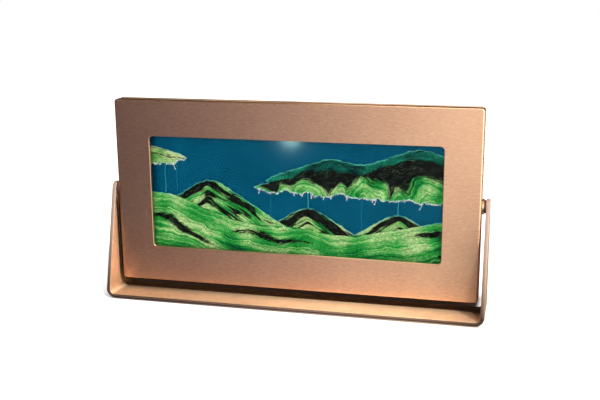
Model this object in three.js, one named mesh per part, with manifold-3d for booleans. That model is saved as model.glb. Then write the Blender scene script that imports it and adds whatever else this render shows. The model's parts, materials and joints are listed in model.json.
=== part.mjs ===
// A moving sand picture. A sealed glass cell of coloured sand and dyed liquid sits between two pressed
// shells, and the panel so made turns end over end on two screws, between the legs of a bent strip stand.
// Millimetres. +X is the viewer's right, -Y the front and +Z up.
// The origin is at the centre of the plane that the foot pads rest on.

import * as THREE from 'three';
import { mergeVertices } from 'three/addons/utils/BufferGeometryUtils.js';
import Module from 'manifold-3d';

// The gap left between pieces that seat on each other, the least radius of a corner,
// and how far a cut runs past the faces that it opens
const SEAT_GAP = 0.3;
const LEAST_RADIUS = 0.1;
const OVERCUT = 1;

// Panel shells, two alike
const PANEL_WIDTH = 380;
const PANEL_HEIGHT = 195;
const SHELL_SHEET = 1.5;
const SHELL_CORNER_RADIUS = 3.5;
const SHELL_EDGE_RADIUS = 2;
const SHELL_SEAM = 0.6;
const WINDOW_WIDTH = 305;
const WINDOW_HEIGHT = 119;
const WINDOW_CORNER_RADIUS = 4;

// Glass cell
const GASKET_THICKNESS = 2;
const GLASS_THICKNESS = 3;
const GLASS_LAP = 8;
const CELL_DEPTH = 4.2;
const CELL_SPACER_WIDTH = 6;
const PLUG_RADIUS = 1.3;
const PLUG_HEAD_RADIUS = 1.9;
const PLUG_HEAD_HEIGHT = 1.2;

// Core rails and the screws that join them
const CORNER_SCREW_RADIUS = 2;
const CORNER_SCREW_LENGTH = 42;
const CORNER_SCREW_HEAD_RADIUS = 3.6;
const CORNER_SCREW_HEAD_HEIGHT = 2.4;

// Pivots, one on each side
const PIVOT_SCREW_RADIUS = 2.5;
const PIVOT_HEAD_RADIUS = 4.8;
const PIVOT_HEAD_RIM = 0.5;
const PIVOT_HEAD_CONE = 2.3;
const PIVOT_RUNNING_GAP = 0.25;
const PIVOT_WASHER_RADIUS = 7.8;
const PIVOT_WASHER_THICKNESS = 1.8;
const FRICTION_WASHER_RADIUS = 6.7;
const FRICTION_WASHER_THICKNESS = 1.3;
const INSERT_RADIUS = 4;
const INSERT_END_WALL = 2.4;
const INSERT_SPARE_THREAD = 3;
const HEX_KEY_WIDTH = 3;
const HEX_KEY_DEPTH = 1.6;

// Stand, and the forward lean that the panel is left at
const STRIP_THICKNESS = 4;
const BASE_DEPTH = 56;
const BEND_RADIUS = 9;
const LEG_TIP_RADIUS = 8;
const PANEL_CLEARANCE = 12.2;
const PANEL_LEAN_DEGREES = 4;
const FOOT_RADIUS = 5;
const FOOT_THICKNESS = 1.2;
const FOOT_INSET = 9;

// Facets on round pieces, on each rounded corner, bend, fold and leg tip, and between points of the sand
const ROUND_FACETS = 32;
const SMALL_ROUND_FACETS = 20;
const HEX_SIDES = 6;
const CORNER_FACETS = 4;
const BEND_FACETS = 8;
const FOLD_FACETS = 3;
const LEG_TIP_FACETS = 16;
const SAND_FACETS = 6;

// The sand picture: the slope that poured sand comes to rest at, the round of a pile's crown,
// and outlines in shares of the cell's width and height, from its lower left corner
const REPOSE_DEGREES = 32;
const PILE_CROWN = 14;
const BED_SURFACE_SHARES = [
  [0, 0.49], [0.09, 0.46], [0.20, 0.35], [0.34, 0.25], [0.50, 0.24], [0.66, 0.19], [0.82, 0.25], [1, 0.36],
];
const LEFT_PILE_PEAK_SHARES = [0.21, 0.655];
const MIDDLE_PILE_PEAK_SHARES = [0.55, 0.45];
const RIGHT_PILE_PEAK_SHARES = [0.85, 0.43];
const SHELF_OUTLINE_SHARES = [
  [1, 0.71], [0.90, 0.74], [0.80, 0.68], [0.70, 0.72], [0.60, 0.67], [0.50, 0.665], [0.42, 0.62],
  [0.365, 0.575], [0.42, 0.55], [0.53, 0.535], [0.66, 0.53], [0.79, 0.51], [0.90, 0.515], [1, 0.50],
];
const CAP_OUTLINE_SHARES = [
  [1, 0.89], [0.91, 0.945], [0.82, 0.87], [0.73, 0.80], [0.63, 0.84], [0.53, 0.765], [0.45, 0.695],
  [0.405, 0.63], [0.46, 0.61], [0.70, 0.63], [1, 0.63],
];
const LEDGE_OUTLINE_SHARES = [
  [0, 0.74], [0.05, 0.735], [0.10, 0.765], [0.13, 0.80], [0.095, 0.84], [0.045, 0.875], [0, 0.90],
];

// Sizes that follow from those above
const panelDepth = 2 * (SHELL_SHEET + GASKET_THICKNESS + GLASS_THICKNESS + 3 * SEAT_GAP) + CELL_DEPTH;
const glassWidth = WINDOW_WIDTH + 2 * GLASS_LAP;
const glassHeight = WINDOW_HEIGHT + 2 * GLASS_LAP;
const glassInnerFace = CELL_DEPTH / 2 + SEAT_GAP;
const glassOuterFace = glassInnerFace + GLASS_THICKNESS;
const gasketInnerFace = glassOuterFace + SEAT_GAP;
const gasketOuterFace = gasketInnerFace + GASKET_THICKNESS;
const foldInnerRadius = Math.max(SHELL_EDGE_RADIUS - SHELL_SHEET, LEAST_RADIUS);
const coreInset = SHELL_SHEET + foldInnerRadius + SEAT_GAP;
const coreWidth = PANEL_WIDTH - 2 * coreInset;
const coreHeight = PANEL_HEIGHT - 2 * coreInset;
const coreCornerRadius = Math.max(SHELL_CORNER_RADIUS - coreInset, LEAST_RADIUS);
const railGlassGap = PLUG_HEAD_HEIGHT + 2 * SEAT_GAP;
const railInnerHalfWidth = glassWidth / 2 + railGlassGap;
const railInnerHalfHeight = glassHeight / 2 + railGlassGap;
const sideRailCentre = (railInnerHalfWidth + coreWidth / 2) / 2;
const cellWidth = glassWidth - 2 * (CELL_SPACER_WIDTH + SEAT_GAP);
const cellHeight = glassHeight - 2 * (CELL_SPACER_WIDTH + SEAT_GAP);
const sideGap = FRICTION_WASHER_THICKNESS + PIVOT_WASHER_THICKNESS + 3 * SEAT_GAP;
const legInnerFace = PANEL_WIDTH / 2 + sideGap;
const legOuterFace = legInnerFace + STRIP_THICKNESS;
const pivotHeight = FOOT_THICKNESS + STRIP_THICKNESS + PANEL_CLEARANCE + PANEL_HEIGHT / 2;
const insertInnerEnd = railInnerHalfWidth + INSERT_END_WALL;
const pivotTip = insertInnerEnd + INSERT_SPARE_THREAD;
const pivotConeEnd = legOuterFace - PIVOT_HEAD_RIM - PIVOT_HEAD_CONE;

const wasm = await Module();
wasm.setup();

// A closed solid of a geometry, ready to be joined or cut
function solidOf(geometry) {
  const mergeDistance = 1e-4;
  const bare = geometry.clone();
  bare.deleteAttribute('normal');
  bare.deleteAttribute('uv');
  const merged = mergeVertices(bare, mergeDistance);
  const corners = merged.index.array;
  const kept = [];
  for (let i = 0; i < corners.length; i += 3) {
    const [a, b, c] = corners.slice(i, i + 3);
    if (a !== b && b !== c && c !== a) {
      kept.push(a, b, c);
    }
  }
  return new wasm.Manifold(new wasm.Mesh({
    numProp: 3,
    vertProperties: new Float32Array(merged.attributes.position.array),
    triVerts: new Uint32Array(kept),
  }));
}

function geometryOf(solid) {
  const mesh = solid.getMesh();
  const geometry = new THREE.BufferGeometry();
  geometry.setAttribute('position', new THREE.BufferAttribute(mesh.vertProperties, 3));
  geometry.setIndex(new THREE.BufferAttribute(mesh.triVerts, 1));
  return geometry;
}

// What is left of a geometry once the cutters are taken out of it
function cut(geometry, ...cutters) {
  let solid = solidOf(geometry);
  for (const cutter of cutters) {
    solid = solid.subtract(solidOf(cutter));
  }
  return geometryOf(solid);
}

function common(geometry, other) {
  return geometryOf(solidOf(geometry).intersect(solidOf(other)));
}

function boxBetween(low, high) {
  const size = high.map((value, axis) => value - low[axis]);
  const middle = high.map((value, axis) => (value + low[axis]) / 2);
  return new THREE.BoxGeometry(...size).translate(...middle);
}

// An outline drawn in X and Z, carried through from one Y to another
function throughDepth(shape, yLow, yHigh, options = {}) {
  const geometry = new THREE.ExtrudeGeometry(shape, {
    depth: yHigh - yLow, bevelEnabled: false, curveSegments: CORNER_FACETS, ...options,
  });
  geometry.rotateX(Math.PI / 2);
  return geometry.translate(0, yHigh, 0);
}

// An outline drawn in Y and Z, carried through from one X to another
function throughWidth(shape, xLow, xHigh, curveSegments) {
  const depth = xHigh - xLow;
  const geometry = new THREE.ExtrudeGeometry(shape, { depth, bevelEnabled: false, curveSegments });
  const alongY = new THREE.Vector3(0, 1, 0);
  const alongZ = new THREE.Vector3(0, 0, 1);
  const alongX = new THREE.Vector3(1, 0, 0);
  geometry.applyMatrix4(new THREE.Matrix4().makeBasis(alongY, alongZ, alongX));
  return geometry.translate(xLow, 0, 0);
}

// A profile of [radius, place along X] points turned about the X axis
function turnedAboutX(profile, facets) {
  const points = profile.map(([radius, along]) => new THREE.Vector2(radius, along));
  return new THREE.LatheGeometry(points, facets).rotateZ(-Math.PI / 2);
}

// A profile of [radius, height] points turned about the Z axis
function turnedAboutZ(profile, facets) {
  const points = profile.map(([radius, height]) => new THREE.Vector2(radius, height));
  return new THREE.LatheGeometry(points, facets).rotateX(Math.PI / 2);
}

function rodAlongX(radius, xLow, xHigh, facets) {
  return turnedAboutX([[0, xLow], [radius, xLow], [radius, xHigh], [0, xHigh]], facets);
}

function rodAlongZ(radius, zLow, zHigh, facets) {
  return turnedAboutZ([[0, zLow], [radius, zLow], [radius, zHigh], [0, zHigh]], facets);
}

function ringAlongX(innerRadius, outerRadius, xLow, xHigh) {
  const profile = [
    [innerRadius, xLow], [outerRadius, xLow], [outerRadius, xHigh], [innerRadius, xHigh], [innerRadius, xLow],
  ];
  return turnedAboutX(profile, ROUND_FACETS);
}

// A rectangle about the origin, its corners rounded: each arc is joined to the last by a straight side
function rectangle(width, height, radius) {
  const x = width / 2 - radius;
  const z = height / 2 - radius;
  const quarter = Math.PI / 2;
  const shape = new THREE.Shape();
  shape.absarc(x, -z, radius, -quarter, 0, false);
  shape.absarc(x, z, radius, 0, quarter, false);
  shape.absarc(-x, z, radius, quarter, 2 * quarter, false);
  shape.absarc(-x, -z, radius, 2 * quarter, 3 * quarter, false);
  return shape;
}

// The window's outline, grown all round by a margin
function windowRectangle(margin) {
  return rectangle(WINDOW_WIDTH + 2 * margin, WINDOW_HEIGHT + 2 * margin, WINDOW_CORNER_RADIUS + margin);
}

// A block with its four upright corners rounded, and its front and rear edges rounded by the fold radius
function foldedBlock(width, height, depth, cornerRadius, foldRadius) {
  const halfFlat = depth / 2 - foldRadius;
  return throughDepth(rectangle(width, height, cornerRadius), -halfFlat, halfFlat, {
    bevelEnabled: true,
    bevelThickness: foldRadius,
    bevelSize: foldRadius,
    bevelOffset: -foldRadius,
    bevelSegments: FOLD_FACETS,
  });
}

const finishes = {
  copper: new THREE.MeshStandardMaterial({ color: 0xc98f6e, roughness: 0.38, metalness: 1 }),
  brightCopper: new THREE.MeshStandardMaterial({ color: 0xe6b48c, roughness: 0.25, metalness: 1 }),
  steel: new THREE.MeshStandardMaterial({ color: 0xb9bcc0, roughness: 0.3, metalness: 1 }),
  brass: new THREE.MeshStandardMaterial({ color: 0xc9a44f, roughness: 0.35, metalness: 1 }),
  rail: new THREE.MeshStandardMaterial({ color: 0x1c1b1a, roughness: 0.7, metalness: 0 }),
  foam: new THREE.MeshStandardMaterial({ color: 0x161514, roughness: 0.95, metalness: 0 }),
  rubber: new THREE.MeshStandardMaterial({ color: 0x2a2522, roughness: 0.85, metalness: 0 }),
  fibre: new THREE.MeshStandardMaterial({ color: 0x6b4a38, roughness: 0.6, metalness: 0 }),
  spacer: new THREE.MeshStandardMaterial({ color: 0x0b2b38, roughness: 0.4, metalness: 0 }),
  glass: new THREE.MeshStandardMaterial({
    color: 0xe8f4f2, roughness: 0.05, metalness: 0, transparent: true, opacity: 0.2,
  }),
  liquid: new THREE.MeshStandardMaterial({
    color: 0x044a68, roughness: 0.15, metalness: 0, transparent: true, opacity: 0.8,
  }),
  greenSand: new THREE.MeshStandardMaterial({ color: 0x2f9e48, roughness: 0.9, metalness: 0 }),
  paleSand: new THREE.MeshStandardMaterial({ color: 0x8fc07a, roughness: 0.9, metalness: 0 }),
  blackSand: new THREE.MeshStandardMaterial({ color: 0x12110f, roughness: 0.85, metalness: 0 }),
};

const sandPicture = new THREE.Group();
const stand = new THREE.Group();
const panel = new THREE.Group();
panel.position.z = pivotHeight;
panel.rotation.x = THREE.MathUtils.degToRad(PANEL_LEAN_DEGREES);
sandPicture.add(stand, panel);

function addPiece(group, name, geometry, finish) {
  const mesh = new THREE.Mesh(geometry, finishes[finish]);
  mesh.name = name;
  group.add(mesh);
  return mesh;
}

// The same piece on both sides: as drawn on the right, and turned half way round Z on the left
function addOnBothSides(group, name, geometry, finish) {
  addPiece(group, `${name}_right`, geometry, finish);
  addPiece(group, `${name}_left`, geometry, finish).rotation.z = Math.PI;
}

// The space that the right pivot screw turns in, through the leg
function pivotHole() {
  return turnedAboutX([
    [0, legInnerFace - OVERCUT],
    [PIVOT_SCREW_RADIUS + PIVOT_RUNNING_GAP, legInnerFace - OVERCUT],
    [PIVOT_SCREW_RADIUS + PIVOT_RUNNING_GAP, pivotConeEnd],
    [PIVOT_HEAD_RADIUS + PIVOT_RUNNING_GAP, legOuterFace - PIVOT_HEAD_RIM],
    [PIVOT_HEAD_RADIUS + PIVOT_RUNNING_GAP, legOuterFace + OVERCUT],
    [0, legOuterFace + OVERCUT],
  ], ROUND_FACETS).translate(0, 0, pivotHeight);
}

// The strip seen from the front: a flat base turned up at both ends
function stripOutline() {
  const low = FOOT_THICKNESS;
  const top = pivotHeight + LEG_TIP_RADIUS + OVERCUT;
  const innerRadius = BEND_RADIUS - STRIP_THICKNESS;
  const bendX = legOuterFace - BEND_RADIUS;
  const bendZ = low + BEND_RADIUS;
  const quarter = Math.PI / 2;
  const shape = new THREE.Shape();
  shape.moveTo(-legOuterFace, top);
  shape.lineTo(-legOuterFace, bendZ);
  shape.absarc(-bendX, bendZ, BEND_RADIUS, 2 * quarter, 3 * quarter, false);
  shape.lineTo(bendX, low);
  shape.absarc(bendX, bendZ, BEND_RADIUS, -quarter, 0, false);
  shape.lineTo(legOuterFace, top);
  shape.lineTo(legInnerFace, top);
  shape.lineTo(legInnerFace, bendZ);
  shape.absarc(bendX, bendZ, innerRadius, 0, -quarter, true);
  shape.lineTo(-bendX, low + STRIP_THICKNESS);
  shape.absarc(-bendX, bendZ, innerRadius, 3 * quarter, 2 * quarter, true);
  shape.lineTo(-legInnerFace, top);
  return shape;
}

// The strip seen from the side: full depth up to the bends, then tapering to a tangent round tip
function legOutline() {
  const low = FOOT_THICKNESS;
  const halfDepth = BASE_DEPTH / 2;
  const shoulder = low + BEND_RADIUS;
  const drop = shoulder - pivotHeight;
  const reach = Math.hypot(halfDepth, drop);
  const tangentAngle = Math.atan2(drop, halfDepth) + Math.acos(LEG_TIP_RADIUS / reach);
  const shape = new THREE.Shape();
  shape.moveTo(-halfDepth, low);
  shape.lineTo(halfDepth, low);
  shape.lineTo(halfDepth, shoulder);
  shape.absarc(0, pivotHeight, LEG_TIP_RADIUS, tangentAngle, Math.PI - tangentAngle, false);
  shape.lineTo(-halfDepth, shoulder);
  return shape;
}

function addStand() {
  const halfDepth = BASE_DEPTH / 2 + OVERCUT;
  const halfWidth = legOuterFace + OVERCUT;
  const bentStrip = throughDepth(stripOutline(), -halfDepth, halfDepth, { curveSegments: BEND_FACETS });
  const sideView = throughWidth(legOutline(), -halfWidth, halfWidth, LEG_TIP_FACETS);
  const rightHole = pivotHole();
  const leftHole = pivotHole().rotateZ(Math.PI);
  addPiece(stand, 'stand_strip', cut(common(bentStrip, sideView), rightHole, leftHole), 'copper');

  const footX = legOuterFace - BEND_RADIUS - FOOT_INSET;
  const footY = BASE_DEPTH / 2 - FOOT_INSET;
  for (const [side, x] of [['left', -footX], ['right', footX]]) {
    for (const [end, y] of [['front', -footY], ['rear', footY]]) {
      const pad = rodAlongZ(FOOT_RADIUS, 0, FOOT_THICKNESS, SMALL_ROUND_FACETS).translate(x, y, 0);
      addPiece(stand, `foot_pad_${end}_${side}`, pad, 'rubber');
    }
  }

  const washerFace = legInnerFace - SEAT_GAP;
  const washer = ringAlongX(
    PIVOT_SCREW_RADIUS + PIVOT_RUNNING_GAP, FRICTION_WASHER_RADIUS,
    washerFace - FRICTION_WASHER_THICKNESS, washerFace,
  ).translate(0, 0, pivotHeight);
  addOnBothSides(stand, 'friction_washer', washer, 'fibre');
}

// One pressed shell: the front half of a hollow folded block, with its half of the pivot holes,
// and a window whose edge is turned in, as a lip, almost to the glass
function shellGeometry() {
  const whole = foldedBlock(PANEL_WIDTH, PANEL_HEIGHT, panelDepth, SHELL_CORNER_RADIUS, SHELL_EDGE_RADIUS);
  const hollow = foldedBlock(
    PANEL_WIDTH - 2 * SHELL_SHEET, PANEL_HEIGHT - 2 * SHELL_SHEET, panelDepth - 2 * SHELL_SHEET,
    Math.max(SHELL_CORNER_RADIUS - SHELL_SHEET, 2 * foldInnerRadius), foldInnerRadius,
  );
  const lip = throughDepth(windowRectangle(SHELL_SHEET), -panelDepth, -gasketInnerFace);
  const window = throughDepth(windowRectangle(0), -panelDepth, 0);
  const rearHalf = boxBetween(
    [-PANEL_WIDTH, -SHELL_SEAM / 2, -PANEL_HEIGHT], [PANEL_WIDTH, panelDepth, PANEL_HEIGHT],
  );
  const pivotHoles = rodAlongX(PIVOT_SCREW_RADIUS + SEAT_GAP, -PANEL_WIDTH, PANEL_WIDTH, SMALL_ROUND_FACETS);
  return cut(whole, cut(hollow, lip), window, rearHalf, pivotHoles);
}

// Adhesive foam between a shell and the glass and rails behind it, round the window's lip
function gasketGeometry() {
  const sheet = throughDepth(
    rectangle(coreWidth, coreHeight, coreCornerRadius), -gasketOuterFace, -gasketInnerFace,
  );
  return cut(sheet, throughDepth(windowRectangle(SHELL_SHEET + SEAT_GAP), -panelDepth, 0));
}

function addShells() {
  addPiece(panel, 'front_shell', shellGeometry(), 'copper');
  addPiece(panel, 'rear_shell', shellGeometry(), 'copper').rotation.z = Math.PI;
  addPiece(panel, 'front_gasket', gasketGeometry(), 'foam');
  addPiece(panel, 'rear_gasket', gasketGeometry(), 'foam').rotation.z = Math.PI;
}

function addCell() {
  const pane = boxBetween(
    [-glassWidth / 2, -glassOuterFace, -glassHeight / 2], [glassWidth / 2, -glassInnerFace, glassHeight / 2],
  );
  addPiece(panel, 'front_glass', pane, 'glass');
  addPiece(panel, 'rear_glass', pane, 'glass').rotation.z = Math.PI;

  const frame = boxBetween(
    [-glassWidth / 2, -CELL_DEPTH / 2, -glassHeight / 2], [glassWidth / 2, CELL_DEPTH / 2, glassHeight / 2],
  );
  const inside = boxBetween(
    [-glassWidth / 2 + CELL_SPACER_WIDTH, -CELL_DEPTH, -glassHeight / 2 + CELL_SPACER_WIDTH],
    [glassWidth / 2 - CELL_SPACER_WIDTH, CELL_DEPTH, glassHeight / 2 - CELL_SPACER_WIDTH],
  );
  const frameTop = glassHeight / 2;
  const frameTopInside = frameTop - CELL_SPACER_WIDTH;
  const fillHole = rodAlongZ(PLUG_RADIUS + SEAT_GAP, 0, glassHeight, SMALL_ROUND_FACETS);
  addPiece(panel, 'cell_spacer', cut(frame, inside, fillHole), 'spacer');

  const headSeat = frameTop + SEAT_GAP;
  const plug = turnedAboutZ([
    [0, frameTopInside], [PLUG_RADIUS, frameTopInside], [PLUG_RADIUS, headSeat], [PLUG_HEAD_RADIUS, headSeat],
    [PLUG_HEAD_RADIUS, headSeat + PLUG_HEAD_HEIGHT], [0, headSeat + PLUG_HEAD_HEIGHT],
  ], SMALL_ROUND_FACETS);
  addPiece(panel, 'fill_plug', plug, 'rubber');
}

// A screw down through the top rail into the end of the side rail, on the panel's middle line,
// or the hole that it needs
function cornerScrew(clearance, headRoom) {
  const headTop = coreHeight / 2 - SEAT_GAP;
  const headSeat = headTop - CORNER_SCREW_HEAD_HEIGHT;
  const tip = headTop - CORNER_SCREW_LENGTH;
  return turnedAboutZ([
    [0, tip - clearance],
    [CORNER_SCREW_RADIUS + clearance, tip - clearance],
    [CORNER_SCREW_RADIUS + clearance, headSeat - clearance],
    [CORNER_SCREW_HEAD_RADIUS + clearance, headSeat - clearance],
    [CORNER_SCREW_HEAD_RADIUS + clearance, headTop + headRoom],
    [0, headTop + headRoom],
  ], SMALL_ROUND_FACETS);
}

// Four rails round the cell, as deep as the cell, with room for their screws and the pivot inserts
function addRails() {
  const depth = glassOuterFace;
  const core = throughDepth(rectangle(coreWidth, coreHeight, coreCornerRadius), -depth, depth);
  const screw = cornerScrew(0, 0);
  const screwHole = cornerScrew(SEAT_GAP, coreInset);
  const holeEnd = insertInnerEnd - SEAT_GAP;
  const insertHole = rodAlongX(INSERT_RADIUS + SEAT_GAP, holeEnd, PANEL_WIDTH, ROUND_FACETS);
  const corners = [
    ['top_right', sideRailCentre, 0],
    ['top_left', -sideRailCentre, 0],
    ['bottom_left', -sideRailCentre, Math.PI],
    ['bottom_right', sideRailCentre, Math.PI],
  ];
  const holes = [];
  for (const [corner, x, turn] of corners) {
    holes.push(screwHole.clone().rotateY(turn).translate(x, 0, 0));
    addPiece(panel, `corner_screw_${corner}`, screw.clone().rotateY(turn).translate(x, 0, 0), 'steel');
  }

  const aboveCell = boxBetween(
    [-PANEL_WIDTH, -panelDepth, railInnerHalfHeight], [PANEL_WIDTH, panelDepth, PANEL_HEIGHT],
  );
  const topRail = cut(common(core, aboveCell), ...holes);
  addPiece(panel, 'top_rail', topRail, 'rail');
  addPiece(panel, 'bottom_rail', topRail, 'rail').rotation.y = Math.PI;

  const sideTop = railInnerHalfHeight - SEAT_GAP;
  const side = boxBetween([railInnerHalfWidth, -depth, -sideTop], [coreWidth / 2, depth, sideTop]);
  addOnBothSides(panel, 'side_rail', cut(side, insertHole, ...holes), 'rail');
}

function addPivots() {
  const threadRadius = PIVOT_SCREW_RADIUS + PIVOT_RUNNING_GAP;
  const insert = ringAlongX(threadRadius, INSERT_RADIUS, insertInnerEnd, coreWidth / 2);
  addOnBothSides(panel, 'pivot_insert', insert, 'brass');

  const washerSeat = PANEL_WIDTH / 2 + SEAT_GAP;
  const washerEnd = washerSeat + PIVOT_WASHER_THICKNESS;
  const washer = ringAlongX(threadRadius, PIVOT_WASHER_RADIUS, washerSeat, washerEnd);
  addOnBothSides(panel, 'pivot_washer', washer, 'brightCopper');

  const screw = turnedAboutX([
    [0, pivotTip], [PIVOT_SCREW_RADIUS, pivotTip], [PIVOT_SCREW_RADIUS, pivotConeEnd],
    [PIVOT_HEAD_RADIUS, legOuterFace - PIVOT_HEAD_RIM], [PIVOT_HEAD_RADIUS, legOuterFace], [0, legOuterFace],
  ], ROUND_FACETS);
  const hexCorner = HEX_KEY_WIDTH / 2 / Math.cos(Math.PI / HEX_SIDES);
  const socket = rodAlongX(hexCorner, legOuterFace - HEX_KEY_DEPTH, legOuterFace + OVERCUT, HEX_SIDES);
  addOnBothSides(panel, 'pivot_screw', cut(screw, socket), 'copper');
}

// A point of the sand picture, from its shares of the cell's width and height
function inCell([across, up]) {
  return new THREE.Vector2((across - 0.5) * cellWidth, (up - 0.5) * cellHeight);
}

// A body of sand between the panes, or the room it takes up if it is to be cut out of something else
function sandBody(shape, asCutter) {
  const halfDepth = asCutter ? CELL_DEPTH : CELL_DEPTH / 2;
  return throughDepth(shape, -halfDepth, halfDepth, { curveSegments: SAND_FACETS });
}

// The bed reaches from wall to wall and down to the cell's floor
function bedShape() {
  const surface = BED_SURFACE_SHARES.map(inCell);
  const shape = new THREE.Shape();
  shape.moveTo(surface[0].x, -cellHeight / 2);
  shape.lineTo(surface[0].x, surface[0].y);
  shape.splineThru(surface.slice(1));
  shape.lineTo(cellWidth / 2, -cellHeight / 2);
  return shape;
}

// A poured pile: slopes at the angle of repose, down to the cell's floor, and a rounded crown
function pileShape(peak) {
  const top = inCell(peak);
  const floor = -cellHeight / 2;
  const slope = Math.tan(THREE.MathUtils.degToRad(REPOSE_DEGREES));
  const footReach = (top.y - floor) / slope;
  const crownDrop = PILE_CROWN * slope;
  const shape = new THREE.Shape();
  shape.moveTo(top.x - footReach, floor);
  shape.lineTo(top.x - PILE_CROWN, top.y - crownDrop);
  shape.quadraticCurveTo(top.x, top.y, top.x + PILE_CROWN, top.y - crownDrop);
  shape.lineTo(top.x + footReach, floor);
  return shape;
}

// Sand held up against a side wall: a smooth outline that starts and ends on the wall
function heldShape(outline) {
  const points = outline.map(inCell);
  const shape = new THREE.Shape();
  shape.moveTo(points[0].x, points[0].y);
  shape.splineThru(points.slice(1));
  return shape;
}

// The room that a body of sand takes up with a seat gap all round
function roomFor(shape) {
  const steps = [[0, SEAT_GAP], [0, -SEAT_GAP], [SEAT_GAP, 0], [-SEAT_GAP, 0]];
  return steps.map(([x, z]) => sandBody(shape, true).translate(x, 0, z));
}

function addSandAndLiquid() {
  const bed = bedShape();
  const leftPile = pileShape(LEFT_PILE_PEAK_SHARES);
  const middlePile = pileShape(MIDDLE_PILE_PEAK_SHARES);
  const rightPile = pileShape(RIGHT_PILE_PEAK_SHARES);
  const shelf = heldShape(SHELF_OUTLINE_SHARES);
  const cap = heldShape(CAP_OUTLINE_SHARES);
  const ledge = heldShape(LEDGE_OUTLINE_SHARES);
  const cell = boxBetween(
    [-cellWidth / 2, -CELL_DEPTH / 2, -cellHeight / 2], [cellWidth / 2, CELL_DEPTH / 2, cellHeight / 2],
  );

  // Each body is cut back from those that lay there before it
  const bodies = [
    ['sand_bed', bed, [], 'greenSand'],
    ['sand_pile_left', leftPile, [bed], 'blackSand'],
    ['sand_pile_middle', middlePile, [bed, leftPile], 'blackSand'],
    ['sand_pile_right', rightPile, [bed, middlePile], 'paleSand'],
    ['sand_shelf', shelf, [], 'greenSand'],
    ['sand_shelf_cap', cap, [shelf], 'blackSand'],
    ['sand_ledge', ledge, [], 'paleSand'],
  ];
  for (const [name, shape, earlier, finish] of bodies) {
    const body = common(sandBody(shape, false), cell);
    addPiece(panel, name, cut(body, ...earlier.flatMap(roomFor)), finish);
  }
  const sand = [bed, leftPile, middlePile, rightPile, shelf, cap, ledge];
  addPiece(panel, 'liquid', cut(cell, ...sand.flatMap(roomFor)), 'liquid');
}

addStand();
addShells();
addCell();
addRails();
addPivots();
addSandAndLiquid();

export default sandPicture;
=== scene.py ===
"""Looks of a moving sand picture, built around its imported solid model.

Metres, +Z up, -Y towards the viewer. The panel's pieces are modelled in the panel's own upright frame,
centred on the pivot axis, and panel_place then gives them the panel's forward lean.
"""

import json
import math
import random

import bmesh
import bpy
import numpy as np
from mathutils import Matrix, Vector, geometry, noise


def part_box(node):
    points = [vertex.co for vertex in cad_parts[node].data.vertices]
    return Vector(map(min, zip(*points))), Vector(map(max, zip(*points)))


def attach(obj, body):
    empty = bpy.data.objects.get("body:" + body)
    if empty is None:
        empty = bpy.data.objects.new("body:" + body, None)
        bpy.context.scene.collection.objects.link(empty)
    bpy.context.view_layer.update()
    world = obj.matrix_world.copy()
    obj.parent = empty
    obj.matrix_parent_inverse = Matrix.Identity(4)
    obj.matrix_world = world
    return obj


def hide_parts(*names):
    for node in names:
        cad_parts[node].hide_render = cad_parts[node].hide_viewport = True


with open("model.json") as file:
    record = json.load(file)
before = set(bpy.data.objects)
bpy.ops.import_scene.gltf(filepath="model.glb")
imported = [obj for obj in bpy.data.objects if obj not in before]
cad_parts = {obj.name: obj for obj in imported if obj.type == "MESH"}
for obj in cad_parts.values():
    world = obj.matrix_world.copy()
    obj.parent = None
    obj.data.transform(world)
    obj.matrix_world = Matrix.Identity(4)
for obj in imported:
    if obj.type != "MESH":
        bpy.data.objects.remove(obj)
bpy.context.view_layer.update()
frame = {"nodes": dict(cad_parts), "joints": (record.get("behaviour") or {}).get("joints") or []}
nodes = frame["nodes"]

MM = 0.001
QUARTER = math.pi / 2

# Sizes that the solid model has, where no box of a node gives them
SHEET = 1.5 * MM
SHELL_CORNER = 3.5 * MM
SHELL_FOLD = 2 * MM
SEAM_HALF = 0.3 * MM
SEAT_GAP = 0.3 * MM
WINDOW_HALF_WIDTH = 152.5 * MM
WINDOW_HALF_HEIGHT = 59.5 * MM
WINDOW_CORNER = 4 * MM
STRIP = 4 * MM
BEND = 9 * MM
LEG_TIP = 8 * MM
PIVOT_SHANK = 2.5 * MM
PIVOT_BORE = 2.75 * MM
PIVOT_HEAD = 4.8 * MM
PIVOT_HEAD_RIM = 0.5 * MM
PIVOT_HEAD_CONE = 2.3 * MM
HEX_HALF_WIDTH = 1.5 * MM
HEX_DEPTH = 1.6 * MM

# Fine rounding that the solids leave out
LEAST_RADIUS = 0.1 * MM
SUPPORT = 0.3 * MM
WINDOW_EDGE = 0.5 * MM
SHEET_EDGE = 0.2 * MM
STRIP_EDGE = 0.5 * MM
SMALL_EDGE = 0.25 * MM
CORNER_STEPS = 10
FOLD_STEPS = 6
BEND_STEPS = 16
TURN_STEPS = 48
CREASE = math.radians(40)


# Places that come from the frame

def pane_lean():
    """The panel's forward lean, from the slope of the front pane's largest face."""
    largest = max(nodes["front_glass"].data.polygons, key=lambda polygon: polygon.area)
    return math.atan(largest.normal.z / largest.normal.y)


pivot = Vector(frame["joints"][0]["pos_m"])
panel_place = Matrix.Translation(pivot) @ Matrix.Rotation(pane_lean(), 4, "X")
to_panel = panel_place.inverted()
turned_round = Matrix.Rotation(math.pi, 4, "Z")


def panel_box(node):
    """Lowest and highest corner of a node in the panel's own frame."""
    points = np.array([to_panel @ vertex.co for vertex in nodes[node].data.vertices])
    return Vector(points.min(0)), Vector(points.max(0))


# Mesh building

def new_mesh(name, vertices, faces):
    mesh = bpy.data.meshes.new(name)
    mesh.from_pydata([tuple(vertex) for vertex in vertices], [], faces)
    return mesh


def linked(name, data):
    """A new object in the scene."""
    made = bpy.data.objects.new(name, data)
    bpy.context.scene.collection.objects.link(made)
    return made


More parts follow.
